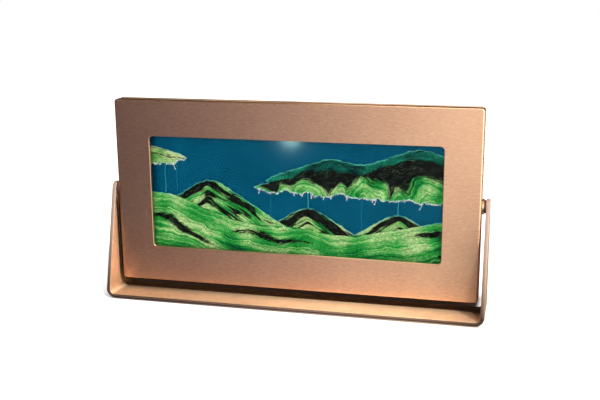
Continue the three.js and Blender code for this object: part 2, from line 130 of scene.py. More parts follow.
def outward(mesh):
    """Turns every face of a closed mesh outwards."""
    made = bmesh.new()
    made.from_mesh(mesh)
    bmesh.ops.recalc_face_normals(made, faces=made.faces)
    made.to_mesh(mesh)
    made.free()
    return mesh


def between(rows):
    """Faces that join each ring of points to the next."""
    faces = []
    for near, far in zip(rows, rows[1:]):
        for i in range(len(near)):
            j = (i + 1) % len(near)
            faces.append((near[i], near[j], far[j], far[i]))
    return faces


def skin(rings, count, closed=False, capped=False):
    """Faces over rings of count points. Closed joins the last ring to the first, capped fills both ends."""
    rows = [range(ring * count, (ring + 1) * count) for ring in range(rings)]
    faces = between(rows + rows[:1] if closed else rows)
    if capped:
        faces += [tuple(rows[0]), tuple(rows[-1])]
    return faces


def lofted(name, loops, **ends):
    """A mesh over loops of equally many points, in order."""
    vertices = [point for loop in loops for point in loop]
    return outward(new_mesh(name, vertices, skin(len(loops), len(loops[0]), **ends)))


def rectangle_loop(half_width, half_height, radius, y):
    """A rounded rectangle in the plane at y, centred on the Y axis."""
    radius = max(radius, LEAST_RADIUS)
    points = []
    for turn, (side, level) in enumerate(((1, 1), (-1, 1), (-1, -1), (1, -1))):
        for step in range(CORNER_STEPS + 1):
            angle = QUARTER * (turn + step / CORNER_STEPS)
            x = side * (half_width - radius) + radius * math.cos(angle)
            z = level * (half_height - radius) + radius * math.sin(angle)
            points.append((x, y, z))
    return points


def turned(name, profile, closed=False, hexagon=()):
    """A profile of (radius, place along X) points turned about X. Rows named in hexagon are six-sided."""
    loops = []
    for row, (radius, along) in enumerate(profile):
        loop = []
        for step in range(TURN_STEPS):
            angle = 2 * math.pi * step / TURN_STEPS
            reach = radius
            if row in hexagon:
                reach /= math.cos((angle + math.pi / 6) % (math.pi / 3) - math.pi / 6)
            loop.append((along, reach * math.cos(angle), reach * math.sin(angle)))
        loops.append(loop)
    return lofted(name, loops, closed=closed, capped=not closed)


def ring_profile(inner, outer, low, high, edge):
    """A washer's section, its four edges rounded off."""
    return [
        (inner + edge, low), (outer - edge, low), (outer, low + edge), (outer, high - edge),
        (outer - edge, high), (inner + edge, high), (inner, high - edge), (inner, low + edge),
    ]


def cut_away(mesh, *cutters):
    """The mesh without the room that the cutters take up."""
    target = linked("cut_target", mesh)
    made = [target]
    for cutter in cutters:
        modifier = target.modifiers.new("cut", "BOOLEAN")
        modifier.object = linked("cutter", cutter)
        modifier.solver = "EXACT"
        made.append(modifier.object)
    depsgraph = bpy.context.evaluated_depsgraph_get()
    result = bpy.data.meshes.new_from_object(target.evaluated_get(depsgraph))
    for leftover in made:
        bpy.data.objects.remove(leftover)
    return result


def add_piece(name, mesh, material, body, slot=None, replaced=(), place=None):
    """A shaded piece of the object, in its place and riding on its body."""
    mesh.materials.clear()
    mesh.materials.append(material)
    mesh.shade_smooth()
    mesh.set_sharp_from_angle(angle=CREASE)
    piece = linked(name, mesh)
    if place is not None:
        piece.matrix_world = place
    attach(piece, body)
    if replaced:
        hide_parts(*replaced)
    return piece


# Shader building

GREY_LOW, GREY_HIGH = 0.3, 0.7


def linear(red, green, blue):
    """A colour written in sRGB steps of 0 to 255, as the linear values that shaders take."""
    def channel(value):
        share = value / 255
        return share / 12.92 if share <= 0.04045 else ((share + 0.055) / 1.055) ** 2.4
    return (channel(red), channel(green), channel(blue), 1)


def tones(*stops):
    """Stops of a ramp, each a position and an sRGB colour."""
    return [(position, linear(*colour)) for position, *colour in stops]


def dimmed(colour, share):
    return [min(value * share, 1) for value in colour[:3]] + [1]


class Shader:
    """Adds nodes to a node tree. A value for an input is linked if it is a socket, or else set on it."""

    def __init__(self, tree):
        self.tree = tree
        tree.nodes.clear()

    def add(self, kind, inputs=None, **settings):
        node = self.tree.nodes.new(f"ShaderNode{kind}")
        for name, value in settings.items():
            setattr(node, name, value)
        for key, value in (inputs or {}).items():
            socket = node.inputs[key]
            if isinstance(value, bpy.types.NodeSocket):
                self.tree.links.new(value, socket)
            else:
                socket.default_value = value
        return node

    def socket(self, kind, inputs=None, output=0, **settings):
        """One output of a new node."""
        return self.add(kind, inputs, **settings).outputs[output]

    def math(self, operation, *values):
        return self.socket("Math", dict(enumerate(values)), operation=operation)

    def times(self, first, second, plus=None):
        """A product, with a third value added to it if there is one."""
        if plus is None:
            return self.math("MULTIPLY", first, second)
        return self.math("MULTIPLY_ADD", first, second, plus)

    def less(self, first, second):
        return self.math("SUBTRACT", first, second)

    def split(self, vector):
        return self.add("SeparateXYZ", {0: vector}).outputs

    def joined(self, x, y, z=0):
        return self.socket("CombineXYZ", {"X": x, "Y": y, "Z": z})

    def spread(self, value, low, high, to_low, to_high, smooth=False):
        """A value brought from one range to another, and held there."""
        kind = "SMOOTHSTEP" if smooth else "LINEAR"
        inputs = {"Value": value, "From Min": low, "From Max": high, "To Min": to_low, "To Max": to_high}
        return self.socket("MapRange", inputs, "Result", interpolation_type=kind)

    def rise(self, value, low, high):
        return self.spread(value, low, high, 0, 1, smooth=True)

    def fall(self, value, low, high):
        return self.spread(value, low, high, 1, 0, smooth=True)

    def varied(self, grey, low, high):
        """A value that follows a noise."""
        return self.spread(grey, GREY_LOW, GREY_HIGH, low, high)

    def mix(self, share, first, second, blend="MIX"):
        inputs = {0: share, 6: first, 7: second}
        return self.socket("Mix", inputs, 2, data_type="RGBA", blend_type=blend)

    def ramp(self, value, stops):
        node = self.add("ValToRGB", {0: value})
        elements = node.color_ramp.elements
        while len(elements) < len(stops):
            elements.new(0.5)
        for element, (position, colour) in zip(elements, stops):
            element.position = position
            element.color = colour
        return node.outputs["Color"]

    def toned(self, grey, dark, light):
        """A colour that follows a noise."""
        return self.ramp(grey, [(GREY_LOW, dark), (GREY_HIGH, light)])

    def noise(self, vector, scale=1, detail=2, roughness=0.5):
        inputs = {"Vector": vector, "Scale": scale, "Detail": detail, "Roughness": roughness}
        return self.socket("TexNoise", inputs, "Fac")

    def lines(self, place, scale):
        """Noise along one coordinate only."""
        inputs = {"W": place, "Scale": scale, "Detail": 2, "Roughness": 0.6}
        return self.socket("TexNoise", inputs, "Fac", noise_dimensions="1D")

    def stretched(self, vector, scale):
        return self.socket("Mapping", {"Vector": vector, "Scale": scale})

    def place(self):
        return self.socket("TexCoord", output="Object")

    def attribute(self, name, output="Fac"):
        return self.socket("Attribute", output=output, attribute_name=name)

    def bump(self, height, strength, distance):
        return self.socket("Bump", {"Height": height, "Strength": strength, "Distance": distance})

    def principled(self, **inputs):
        return self.socket("BsdfPrincipled", {key.replace("_", " "): value for key, value in inputs.items()})

    def mixed(self, share, first, second):
        """Two shaders, with the given share of the second."""
        return self.socket("MixShader", {0: share, 1: first, 2: second})

    def surface(self, shader, **others):
        self.add("OutputMaterial", {"Surface": shader, **others})


def new_shader(name):
    material = bpy.data.materials.new(name)
    material.use_nodes = True
    return material, Shader(material.node_tree)


# Materials. Scales of noise are per metre.

FINE_LINES = (60, 2200, 2200)
BROAD_LINES = (210, 720, 720)
CLOUD_SCALE = 26
BROAD_SHARE = 0.7
STREAK_SHARE = 0.85
GRAIN_DARK, GRAIN_LIGHT = 0.76, 1.22
ACROSS_LINES = 0.25
ACROSS_STRIP = (0.02, 1, 0.02)
# Painted shade: the base's cut edges are darkened by this for the dark front that they mirror
CUT_EDGE_PAINTED_SHADE = (0.22, 0.2, 0.225, 1)
LEG_EDGE = (0.5, 0.385, 0.36, 1)
LEG_EDGE_METAL = 0.5
RINGS = (2600, 60, 60)
MARK_SCALE = 700
MARK_DARK = 0.8
LINE_DEPTH = 0.02 * MM
LINE_UNEVENNESS, MATT_UNEVENNESS = 0.05, 0.08
RING_POLISH, RING_DULLNESS = 0.06, 0.08
SMEAR_SCALE = 35
PANE_ROUGHNESS = (0.08, 0.11)
PANE_IOR = 1.15
PANE_TINT = (0.985, 0.995, 0.99, 1)
DUST_SCALE = 22
DUST_TONES = (linear(0, 76, 110), linear(2, 94, 132))
DUST_SHARE = 0.6
DYE = (0.03, 0.61, 0.71, 1)
DYE_DENSITY = 1300


def brushed_metal(name, colour, roughness, anisotropy, along=None):
    """Metal brushed in fine lines along X, with its highlight spread across them. On the strip, the lines
    follow the first coordinate of the attribute that along names, a painted shade darkens the base's
    cut edges, and the leg edges are mauve and half metallic."""
    material, shader = new_shader(name)
    coordinates = shader.attribute(along, "Vector") if along else shader.place()
    fine = shader.noise(shader.stretched(coordinates, FINE_LINES), roughness=0.6)
    broad = shader.noise(shader.stretched(coordinates, BROAD_LINES), detail=3, roughness=0.65)
    cloud = shader.noise(coordinates, CLOUD_SCALE)
    streaks = shader.times(broad, BROAD_SHARE, shader.times(fine, 1 - BROAD_SHARE))
    tone = shader.times(cloud, 1 - STREAK_SHARE, shader.times(streaks, STREAK_SHARE))
    toned = shader.toned(tone, dimmed(colour, GRAIN_DARK), dimmed(colour, GRAIN_LIGHT))
    inputs = {"Metallic": 1, "Anisotropic_Rotation": ACROSS_LINES}
    if along:
        leg_edge = shader.attribute("leg_edge")
        # Painted shade on the base's cut edges, then a mauve, half metallic tone on the leg edges
        toned = shader.mix(shader.attribute("painted_shade_edge"), toned, CUT_EDGE_PAINTED_SHADE, "MULTIPLY")
        toned = shader.mix(leg_edge, toned, LEG_EDGE)
        metallic = shader.spread(leg_edge, 0, 1, 1, LEG_EDGE_METAL)
        inputs = {"Metallic": metallic, "Tangent": shader.joined(*ACROSS_STRIP)}
    shader.surface(shader.principled(
        Base_Color=toned,
        Roughness=shader.varied(streaks, roughness - LINE_UNEVENNESS, roughness + LINE_UNEVENNESS),
        Anisotropic=anisotropy,
        Normal=shader.bump(fine, strength=0.12, distance=LINE_DEPTH),
        **inputs,
    ))
    return material


def turned_metal(name, colour, roughness):
    """Metal with the faint rings of a lathe about X, and small marks."""
    material, shader = new_shader(name)
    place = shader.place()
    marks = shader.noise(place, MARK_SCALE, detail=3)
    rings = shader.noise(shader.stretched(place, RINGS))
    shader.surface(shader.principled(
        Base_Color=shader.toned(marks, dimmed(colour, MARK_DARK), colour),
        Metallic=1,
        Roughness=shader.varied(rings, roughness - RING_POLISH, roughness + RING_DULLNESS),
        Normal=shader.bump(rings, strength=0.1, distance=LINE_DEPTH),
    ))
    return material


def matt(name, dark, light, grain, roughness, relief):
    """Plastic, rubber, foam or fibre: two tones of a grain of the given size, with its relief."""
    material, shader = new_shader(name)
    grains = shader.noise(shader.place(), 1 / grain, detail=4, roughness=0.6)
    shader.surface(shader.principled(
        Base_Color=shader.toned(grains, linear(*dark), linear(*light)),
        Roughness=shader.varied(grains, roughness - MATT_UNEVENNESS, roughness + MATT_UNEVENNESS),
        Normal=shader.bump(grains, strength=0.4, distance=relief),
    ))
    return material


def pane_glass(name):
    """Clear glass: it mirrors a little on the side that light enters by, with faint smears."""
    material, shader = new_shader(name)
    smears = shader.noise(shader.place(), SMEAR_SCALE, detail=3)
    gloss = shader.socket("BsdfGlossy", {"Roughness": shader.varied(smears, *PANE_ROUGHNESS)})
    mirror = shader.socket("Fresnel", {"IOR": PANE_IOR})
    inside = shader.socket("NewGeometry", output="Backfacing")
    clear = shader.socket("BsdfTransparent", {"Color": PANE_TINT})
    shader.surface(shader.mixed(shader.times(mirror, shader.less(1, inside)), clear, gloss))
    return material


def dyed_liquid(name):
    """A clear blue dye, with a fine cloud of dust in it that the lamps show."""
    material, shader = new_shader(name)
    dust = shader.toned(shader.noise(shader.place(), DUST_SCALE, detail=3), *DUST_TONES)
    cloudy = shader.socket("BsdfDiffuse", {"Color": dust})
    dye = shader.socket("VolumeAbsorption", {"Color": DYE, "Density": DYE_DENSITY})
    shader.surface(shader.mixed(DUST_SHARE, shader.socket("BsdfTransparent"), cloudy), Volume=dye)
    return material


COPPER = (0.95, 0.54, 0.352, 1)
STRIP_COPPER = (0.94, 0.605, 0.412, 1)
BRIGHT_COPPER = (0.96, 0.70, 0.45, 1)

# Metals: colour, roughness and, if brushed, anisotropy
panel_copper = brushed_metal("panel_copper", COPPER, 0.47, 0.8)
strip_copper = brushed_metal("strip_copper", STRIP_COPPER, 0.6, 0.5, along="flat")
screw_copper = turned_metal("screw_copper", COPPER, 0.3)
bright_copper = turned_metal("bright_copper", BRIGHT_COPPER, 0.26)
steel = turned_metal("steel", linear(190, 192, 196), 0.3)
brass = turned_metal("brass", linear(205, 168, 84), 0.34)
# Matt ones: dark and light colour, size of the grain, roughness and relief
rail_plastic = matt("rail_plastic", (22, 21, 20), (38, 36, 34), 0.4 * MM, 0.65, 0.03 * MM)
foam = matt("foam", (14, 13, 12), (32, 30, 28), 0.25 * MM, 0.9, 0.08 * MM)
rubber = matt("rubber", (30, 27, 25), (46, 42, 39), 0.3 * MM, 0.8, 0.04 * MM)
fibre = matt("fibre", (52, 32, 22), (86, 58, 44), 0.35 * MM, 0.6, 0.04 * MM)
spacer_plastic = matt("spacer_plastic", (16, 96, 126), (30, 122, 152), 0.5 * MM, 0.4, 0.02 * MM)
froth_white = matt("froth", (214, 204, 198), (246, 240, 236), 0.5 * MM, 0.5, 0.03 * MM)
trickle_teal = matt("trickle", (20, 140, 150), (80, 200, 190), 0.6 * MM, 0.7, 0.05 * MM)
glass = pane_glass("glass")
liquid_blue = dyed_liquid("liquid_blue")


# The two pressed shells

def quarter_turn(steps):
    """Pairs of cosine and sine over a quarter turn."""
    return [(math.cos(QUARTER * i / steps), math.sin(QUARTER * i / steps)) for i in range(steps + 1)]


def shell_mesh():
    """The front shell, as one closed skin round the window: lip, window edge, plate, fold, wall, inside."""
    low, high = panel_box("front_shell")
    face = -low.y
    lip_end = -panel_box("front_glass")[0].y + SEAT_GAP
    rounded = quarter_turn(FOLD_STEPS)

    def by_window(margin, depth):
        return rectangle_loop(
            WINDOW_HALF_WIDTH + margin, WINDOW_HALF_HEIGHT + margin, WINDOW_CORNER + margin, -depth)

    def by_edge(inset, depth):
        return rectangle_loop(high.x - inset, high.z - inset, SHELL_CORNER - inset, -depth)

    shell = lofted("front_shell", [
        by_window(SHEET_EDGE, lip_end),
        by_window(0, lip_end + SHEET_EDGE),
        *(by_window(WINDOW_EDGE * (1 - cosine), face - WINDOW_EDGE * (1 - sine)) for cosine, sine in rounded),
        by_window(WINDOW_EDGE + SUPPORT, face),
        by_edge(SHELL_FOLD + SUPPORT, face),
        *(by_edge(SHELL_FOLD * (1 - sine), face - SHELL_FOLD * (1 - cosine)) for cosine, sine in rounded),
        by_edge(0, SEAM_HALF + SHEET_EDGE),
        by_edge(SHEET_EDGE, SEAM_HALF),
        by_edge(SHEET, SEAM_HALF),
        by_edge(SHEET, face - SHELL_FOLD),
        by_edge(SHELL_FOLD, face - SHEET),
        by_window(SHEET, face - SHEET),
        by_window(SHEET, lip_end),
    ], closed=True)
    bore = PIVOT_SHANK + SEAT_GAP
    return cut_away(shell, turned("pivot_hole", [(bore, -high.x * 2), (bore, high.x * 2)]))


def add_shells():
    shell = shell_mesh()
    look = (panel_copper, "panel", "brushed_copper")
    front = add_piece("shell_front", shell, *look, ["front_shell"], panel_place)
    rear = add_piece("shell_rear", shell.copy(), *look, ["rear_shell"], panel_place @ turned_round)
    return front, rear


# The bent strip stand, cut and edged flat, then bent. Lengths along it are from its middle.

strip_low, strip_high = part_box("stand_strip")
half_strip = STRIP / 2
bend_start = strip_high.x - BEND
bend_radius = BEND - half_strip
bend_length = bend_radius * QUARTER
leg_start = bend_start + bend_length
pivot_along = leg_start + pivot.z - strip_low.z - BEND


def offset_loop(points, inset):
    """A flat anticlockwise loop moved inwards."""
    moved = []
    for i, point in enumerate(points):
        before = (point - points[i - 1]).normalized()
        after = (points[(i + 1) % len(points)] - point).normalized()
        inward = Vector((-before.y - after.y, before.x + after.x))
        square = inward.length_squared / 2
        moved.append(point + inward * (inset / square))
    return moved


def strip_outline():
    """The flat strip's edge, with a leg at each end that tapers to a round tip."""
    half_depth = strip_high.y
    drop = leg_start - pivot_along
    tangent = math.atan2(drop, half_depth) + math.acos(LEG_TIP / math.hypot(half_depth, drop))
    right = [Vector((leg_start, -half_depth))]
    for step in range(TURN_STEPS + 1):
        angle = math.pi - tangent + (2 * tangent - math.pi) * step / TURN_STEPS
        right.append(Vector((pivot_along + LEG_TIP * math.sin(angle), LEG_TIP * math.cos(angle))))
    right.append(Vector((leg_start, half_depth)))
    return right + [-point for point in right]


def flat_strip():
    """The strip before it is bent, with rounded edges and countersunk holes."""
    levels = [(STRIP_EDGE + SUPPORT, half_strip)]
    for cosine, sine in quarter_turn(FOLD_STEPS):
        levels.append((STRIP_EDGE * (1 - sine), half_strip - STRIP_EDGE * (1 - cosine)))
    levels += [(inset, -height) for inset, height in reversed(levels)]
    outline = strip_outline()
    loops = [[(p.x, p.y, height) for p in offset_loop(outline, inset)] for inset, height in levels]
    sink = PIVOT_HEAD + PIVOT_BORE - PIVOT_SHANK
    hole = [
        (PIVOT_BORE, -STRIP), (PIVOT_BORE, half_strip - PIVOT_HEAD_RIM - PIVOT_HEAD_CONE),
        (sink, half_strip - PIVOT_HEAD_RIM), (sink, STRIP),
    ]
    cutters = []
    for side in (-1, 1):
        cutter = turned("pivot_hole", hole)
        cutter.transform(Matrix.Translation((side * pivot_along, 0, 0)) @ Matrix.Rotation(QUARTER, 4, "Y"))
        cutters.append(cutter)
    return cut_away(lofted("stand_strip", loops, capped=True), *cutters)


def bent(along, height):
    """How far out and up a point of the flat strip comes to lie."""
    reach = abs(along) - bend_start
    if reach <= 0:
        return abs(along), height
    if reach >= bend_length:
        return bend_start + bend_radius - height, bend_radius + reach - bend_length
    angle = reach / bend_radius
    radius = bend_radius - height
    return bend_start + radius * math.sin(angle), bend_radius - radius * math.cos(angle)


def strip_mesh():
    """The bent strip, with its unbent places as an attribute, and masks of the cut edges of its base, which
    get a painted shade, and of its leg edges.
    """
    mesh = flat_strip()
    made = bmesh.new()
    made.from_mesh(mesh)
    for side in (-1, 1):
        for step in range(BEND_STEPS + 1):
            station = side * (bend_start + bend_length * step / BEND_STEPS)
            everything = made.verts[:] + made.edges[:] + made.faces[:]
            bmesh.ops.bisect_plane(made, geom=everything, plane_co=(station, 0, 0), plane_no=(1, 0, 0))
    unbent = made.verts.layers.float_vector.new("flat")
    painted_shade_edge = made.verts.layers.float.new("painted_shade_edge")
    leg_edge = made.verts.layers.float.new("leg_edge")
    for vertex in made.verts:
        vertex[unbent] = vertex.co
        along, across, height = vertex.co
        up_leg = min(max((abs(along) - leg_start) / (pivot_along - leg_start), 0), 1)
        # Masks for the base's cut edges, which get a painted shade, and for the leg edges
        on_edge = abs(height) < half_strip - STRIP_EDGE / 2
        vertex[painted_shade_edge] = on_edge * (1 - up_leg)
        vertex[leg_edge] = on_edge * up_leg
        out, up = bent(along, height)
        vertex.co = (math.copysign(out, along), across, strip_low.z + half_strip + up)
    made.to_mesh(mesh)
    made.free()
    return mesh


def add_stand():
    strip = add_piece("strip", strip_mesh(), strip_copper, "stand", "brushed_copper", ["stand_strip"])
    for end in ("front", "rear"):
        for side in ("left", "right"):
            node = f"foot_pad_{end}_{side}"
            low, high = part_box(node)
            middle = (low + high) / 2
            radius = (high.x - low.x) / 2
            pad = turned(node, [
                (radius - SMALL_EDGE, 0), (radius, SMALL_EDGE), (radius, high.z - SMALL_EDGE),
                (radius - SMALL_EDGE, high.z),
            ])
            upright = Matrix.Translation((middle.x, middle.y, 0)) @ Matrix.Rotation(-QUARTER, 4, "Y")
            add_piece(f"pad_{end}_{side}", pad, rubber, "stand", "foot_rubber", [node], upright)
    return strip


# Pivots

WASHERS = (
    ("washer", "pivot_washer", bright_copper, "panel", "bright_copper"),
    ("friction", "friction_washer", fibre, "stand", "friction_fibre"),
)


def pivot_screw_mesh(tip, head):
    """A countersunk screw along X, with a rounded point, a six-sided socket and a rounded head edge."""
    return turned("pivot_screw", [
        (PIVOT_SHANK - 2 * SMALL_EDGE, tip), (PIVOT_SHANK, tip + 2 * SMALL_EDGE),
        (PIVOT_SHANK, head - PIVOT_HEAD_RIM - PIVOT_HEAD_CONE), (PIVOT_HEAD, head - PIVOT_HEAD_RIM),
        (PIVOT_HEAD, head - SMALL_EDGE), (PIVOT_HEAD - SMALL_EDGE, head),
        (HEX_HALF_WIDTH + SMALL_EDGE, head), (HEX_HALF_WIDTH, head - SMALL_EDGE),
        (HEX_HALF_WIDTH, head - HEX_DEPTH),
    ], hexagon=(6, 7, 8))


def add_pivots():
    for side, turn in (("right", Matrix.Identity(4)), ("left", turned_round)):
        place = Matrix.Translation(pivot) @ turn
        low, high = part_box("pivot_screw_right")
        add_piece(f"screw_{side}", pivot_screw_mesh(low.x, high.x), screw_copper, "panel", "screw_copper",
                  [f"pivot_screw_{side}"], place)
        for name, node, *look in WASHERS:
            low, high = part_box(f"{node}_right")
            ring = ring_profile(PIVOT_BORE, (high.z - low.z) / 2, low.x, high.x, SMALL_EDGE)
            disc = turned(node, ring, closed=True)
            add_piece(f"{name}_{side}", disc, *look, [f"{node}_{side}"], place)


def dress_inner_nodes():
    """Materials of the solids that stay as they are."""
    dressed = {
        glass: ["front_glass", "rear_glass"],
        foam: ["front_gasket", "rear_gasket"],
        spacer_plastic: ["cell_spacer"],
        rubber: ["fill_plug"],
        rail_plastic: ["top_rail", "bottom_rail", "side_rail_left", "side_rail_right"],
        steel: [f"corner_screw_{end}_{side}" for end in ("top", "bottom") for side in ("left", "right")],
        brass: ["pivot_insert_left", "pivot_insert_right"],
    }
    for material, names in dressed.items():
        for name in names:
            nodes[name].data.materials.clear()
            nodes[name].data.materials.append(material)


# The edges of the sand. Places in the picture are in millimetres, across and up from the middle of the cell.

OUTLINE_DIGITS = 4
OUTLINE_STEP = 0.8
GRID_STEP = 1.1
MERGING = 1e-5
SHARP_TURN = math.radians(38)
SMOOTHING_PASSES = 30
FREE_PASSES = 3
BEVEL = 0.3
CLOSING = 0.17
FREE_DISTANCE = 0.9
LEAST_SLOPE = 0.15
RIPPLES = ((6.0, 0.9), (2.3, 0.7), (1.2, 0.35))
HANGING_RIPPLES = ((15.0, 5.0), (5.0, 2.0), (1.8, 0.4))
HANGING_SLOPE = 2
SLIM = 8.0

cell_low, cell_high = [corner / MM for corner in panel_box("liquid")]


def front_outline(node):
    """The edge of a sand body's front face, anticlockwise."""
    mesh = nodes[node].data
    local = [to_panel @ vertex.co / MM for vertex in mesh.vertices]
    front = min(point.y for point in local) + CLOSING
    places = [(round(point.x, OUTLINE_DIGITS), round(point.z, OUTLINE_DIGITS)) for point in local]
    directed = set()
    for polygon in mesh.polygons:
        if all(local[i].y < front for i in polygon.vertices):
            corners = [places[i] for i in polygon.vertices]
            directed.update(zip(corners, corners[1:] + corners[:1]))
    follows = {start: end for start, end in directed if (end, start) not in directed}
    loop = [min(follows)]
    while follows[loop[-1]] != loop[0]:
        loop.append(follows[loop[-1]])
    return np.array(loop)


def smoothed(loop):
    """The loop in short even steps, with its facets smoothed away between its sharp corners."""
    before = loop - np.roll(loop, 1, 0)
    after = np.roll(loop, -1, 0) - loop
    turns = np.arctan2(before[:, 0] * after[:, 1] - before[:, 1] * after[:, 0], (before * after).sum(1))
    sharp = np.flatnonzero(np.abs(turns) > SHARP_TURN)
    loop = np.roll(loop, -sharp[0], 0)
    ends = [*(sharp - sharp[0]), len(loop)]
    closed = np.vstack([loop, loop[:1]])
    runs = []
    for start, end in zip(ends, ends[1:]):
        run = closed[start:end + 1]
        lengths = np.hypot(*np.diff(run, axis=0).T)
        along = np.concatenate([[0], np.cumsum(lengths)])
        count = max(2, round(along[-1] / OUTLINE_STEP))
        places = np.linspace(0, along[-1], count + 1)
        run = np.column_stack([np.interp(places, along, run[:, axis]) for axis in (0, 1)])
        for _ in range(SMOOTHING_PASSES):
            run[1:-1] = (run[:-2] + 2 * run[1:-1] + run[2:]) / 4
        runs.append(run[:-1])
    return np.vstack(runs)


def outward_normals(loop):
    step = np.roll(loop, -1, 0) - np.roll(loop, 1, 0)
    step /= np.hypot(*step.T)[:, None]
    return np.column_stack([step[:, 1], -step[:, 0]])


def free_share(loop, others):
    """1 where a loop's point meets the liquid, 0 where it meets other sand or a wall, with soft changes."""
    gaps = np.hypot(*(loop[:, None, :] - others[None, :, :]).transpose(2, 0, 1)).min(1)
    walls = (np.abs(loop) > np.array([cell_high.x, cell_high.z]) - FREE_DISTANCE).any(1)
    free = ((gaps > FREE_DISTANCE) & ~walls).astype(float)
    for _ in range(FREE_PASSES):
        free = (np.roll(free, 1) + 2 * free + np.roll(free, -1)) / 4
    return free


def inside(loop, points):
    """Whether each point lies inside a closed loop."""
    crossings = np.zeros(len(points), int)
    for start, end in zip(loop, np.roll(loop, -1, 0)):
        level = (start[1] > points[:, 1]) != (end[1] > points[:, 1])
        rise = end[1] - start[1] if end[1] != start[1] else 1
        cross = start[0] + (points[:, 1] - start[1]) / rise * (end[0] - start[0])
        crossings += level & (points[:, 0] < cross)
    return crossings % 2 == 1


def filled(loop):
    """Points and triangles that fill a loop on a fine grid, and which points the loop's own ones became."""
    low, high = loop.min(0), loop.max(0)
    across, up = np.meshgrid(np.arange(low[0], high[0], GRID_STEP), np.arange(low[1], high[1], GRID_STEP))
    grid = np.column_stack([across.ravel(), up.ravel()])
    grid = grid[inside(loop, grid)]
    gaps = np.full(len(grid), np.inf)
    for point in loop:
        gaps = np.minimum(gaps, np.hypot(*(grid - point).T))
    grid = grid[gaps > OUTLINE_STEP / 2]
    points = [Vector(point) for point in np.vstack([loop, grid])]
    count = len(loop)
    edges = [(i, (i + 1) % count) for i in range(count)]
    made, _, triangles, origins, _, _ = geometry.delaunay_2d_cdt(points, edges, [], 1, MERGING)
    where = {first: index for index, found in enumerate(origins) for first in found}
    border = [where[i] for i in range(count)]
    return np.array([tuple(point) for point in made]), [tuple(triangle) for triangle in triangles], border


def level_at(loop, across, upper):
    """The height of a loop's upper or lower side, at places across."""
    upright = outward_normals(loop)[:, 1]
    side = loop[upright > LEAST_SLOPE] if upper else loop[upright < -LEAST_SLOPE]
    side = side[np.argsort(side[:, 0])]
    return np.interp(across, side[:, 0], side[:, 1])


def swells(x, z, size, seed):
    """Smooth noise of about -1 to 1, with swells of the given size."""
    return np.array([noise.noise((a / size, seed, b / size)) for a, b in zip(x, z)])


def rippled(loop, normals, free):
    """How far a loop's free edge swells out and in. Hanging edges are more jagged, and slim tips less."""
    def total(ripples):
        return sum(depth * swells(*loop.T, wave, wave) for wave, depth in ripples)
    thickness = level_at(loop, loop[:, 0], True) - level_at(loop, loop[:, 0], False)
    hanging = np.clip(-HANGING_SLOPE * normals[:, 1], 0, 1)
    swell = total(HANGING_RIPPLES) * hanging + total(RIPPLES) * (1 - hanging)
    return free * np.clip(thickness / SLIM, 0, 1) * swell


# The layers of the sand. Every kind of layering gives, at places of a body, the layer, how far outside black
# sand the place is, and how pale the sand is there.

BED_FOLD = 7
BED_FOLD_DEPTH = 9
# Dark lenses in the bed: layer, its sway and the sway's length, half thickness, and its length and phase
LENSES = ((13, 3, 26, 4, 29, 0.9), (31, 4, 19, 5, 24, -1.2))
LENS_MARGIN = 0.6
REPOSE = math.tan(math.radians(32))
PEAK_ROUNDING = 1.5
PILE_FOLD = 1.2
BAND_THINNING = 0.2
STREAK_DEPTH = 7.0
STREAK_SQUEEZE = 5.0
# The arches in the hanging sand: place across, half width, and share of the sand's height that they reach
ARCHES = (
    (-40, 20, 0.85), (-8, 10, 0.6), (16, 19, 0.8), (47, 9, 0.5), (76, 22, 0.95), (108, 11, 0.55),
    (140, 24, 0.9),
)
ARCH_SWAY, ARCH_CREASE, ARCH_HEAVE = 6, 2, 5
ARCH_FOOT = 3
ARCH_LAYERS = 34
ARCH_EDGE = 10
CAP_BLACK_DEPTH = 9
CAP_SWAY, CAP_FOLD = 6, 3
CAP_SQUEEZE = 1.1
LEDGE_SAG = 0.004
LEDGE_FOLD = 2
LEDGE_BANDS = ((-1, 2.2), (8, 9.5))
SHELF_PALER, LEDGE_PALER = 0.1, 0.2


def in_bands(layer, bands):
    """Below zero inside any of the bands of layers."""
    return np.min([np.maximum(low - layer, layer - high) for low, high in bands], axis=0)


def bed_layers(x, z, loop):
    """Folded layers that follow the bed's surface, with long dark lenses in them."""
    depth = level_at(loop, x, True) - z
    layer = depth + BED_FOLD * swells(x, z, 34, seed=1) * np.clip(depth / BED_FOLD_DEPTH, 0, 1)
    lenses = [
        np.abs(layer - middle - sway * np.sin(x / sway_length)) - half * np.cos(x / length + phase)
        for middle, sway, sway_length, half, length, phase in LENSES
    ]
    return layer, np.min(lenses, axis=0) + LENS_MARGIN, swells(x, z, 27, seed=2)


def pile_layers(bands, reach):
    """Layers of a poured pile, parallel to its flanks. The dark bands thin out towards its feet."""
    def layers(x, z, loop):
        peak = loop[loop[:, 1].argmax()]
        apex = np.max(loop[:, 1] + REPOSE * np.abs(loop[:, 0] - peak[0]))
        away = np.hypot(x - peak[0], PEAK_ROUNDING)
        layer = apex - z - REPOSE * away + PILE_FOLD * swells(x, z, 16, seed=3)
        streaks = STREAK_DEPTH * swells(x, layer * STREAK_SQUEEZE, 14, seed=16)
        vein = in_bands(layer, bands) + np.maximum(away - reach, 0) * BAND_THINNING + streaks
        return layer, vein, swells(x, z, 22, seed=4)
    return layers


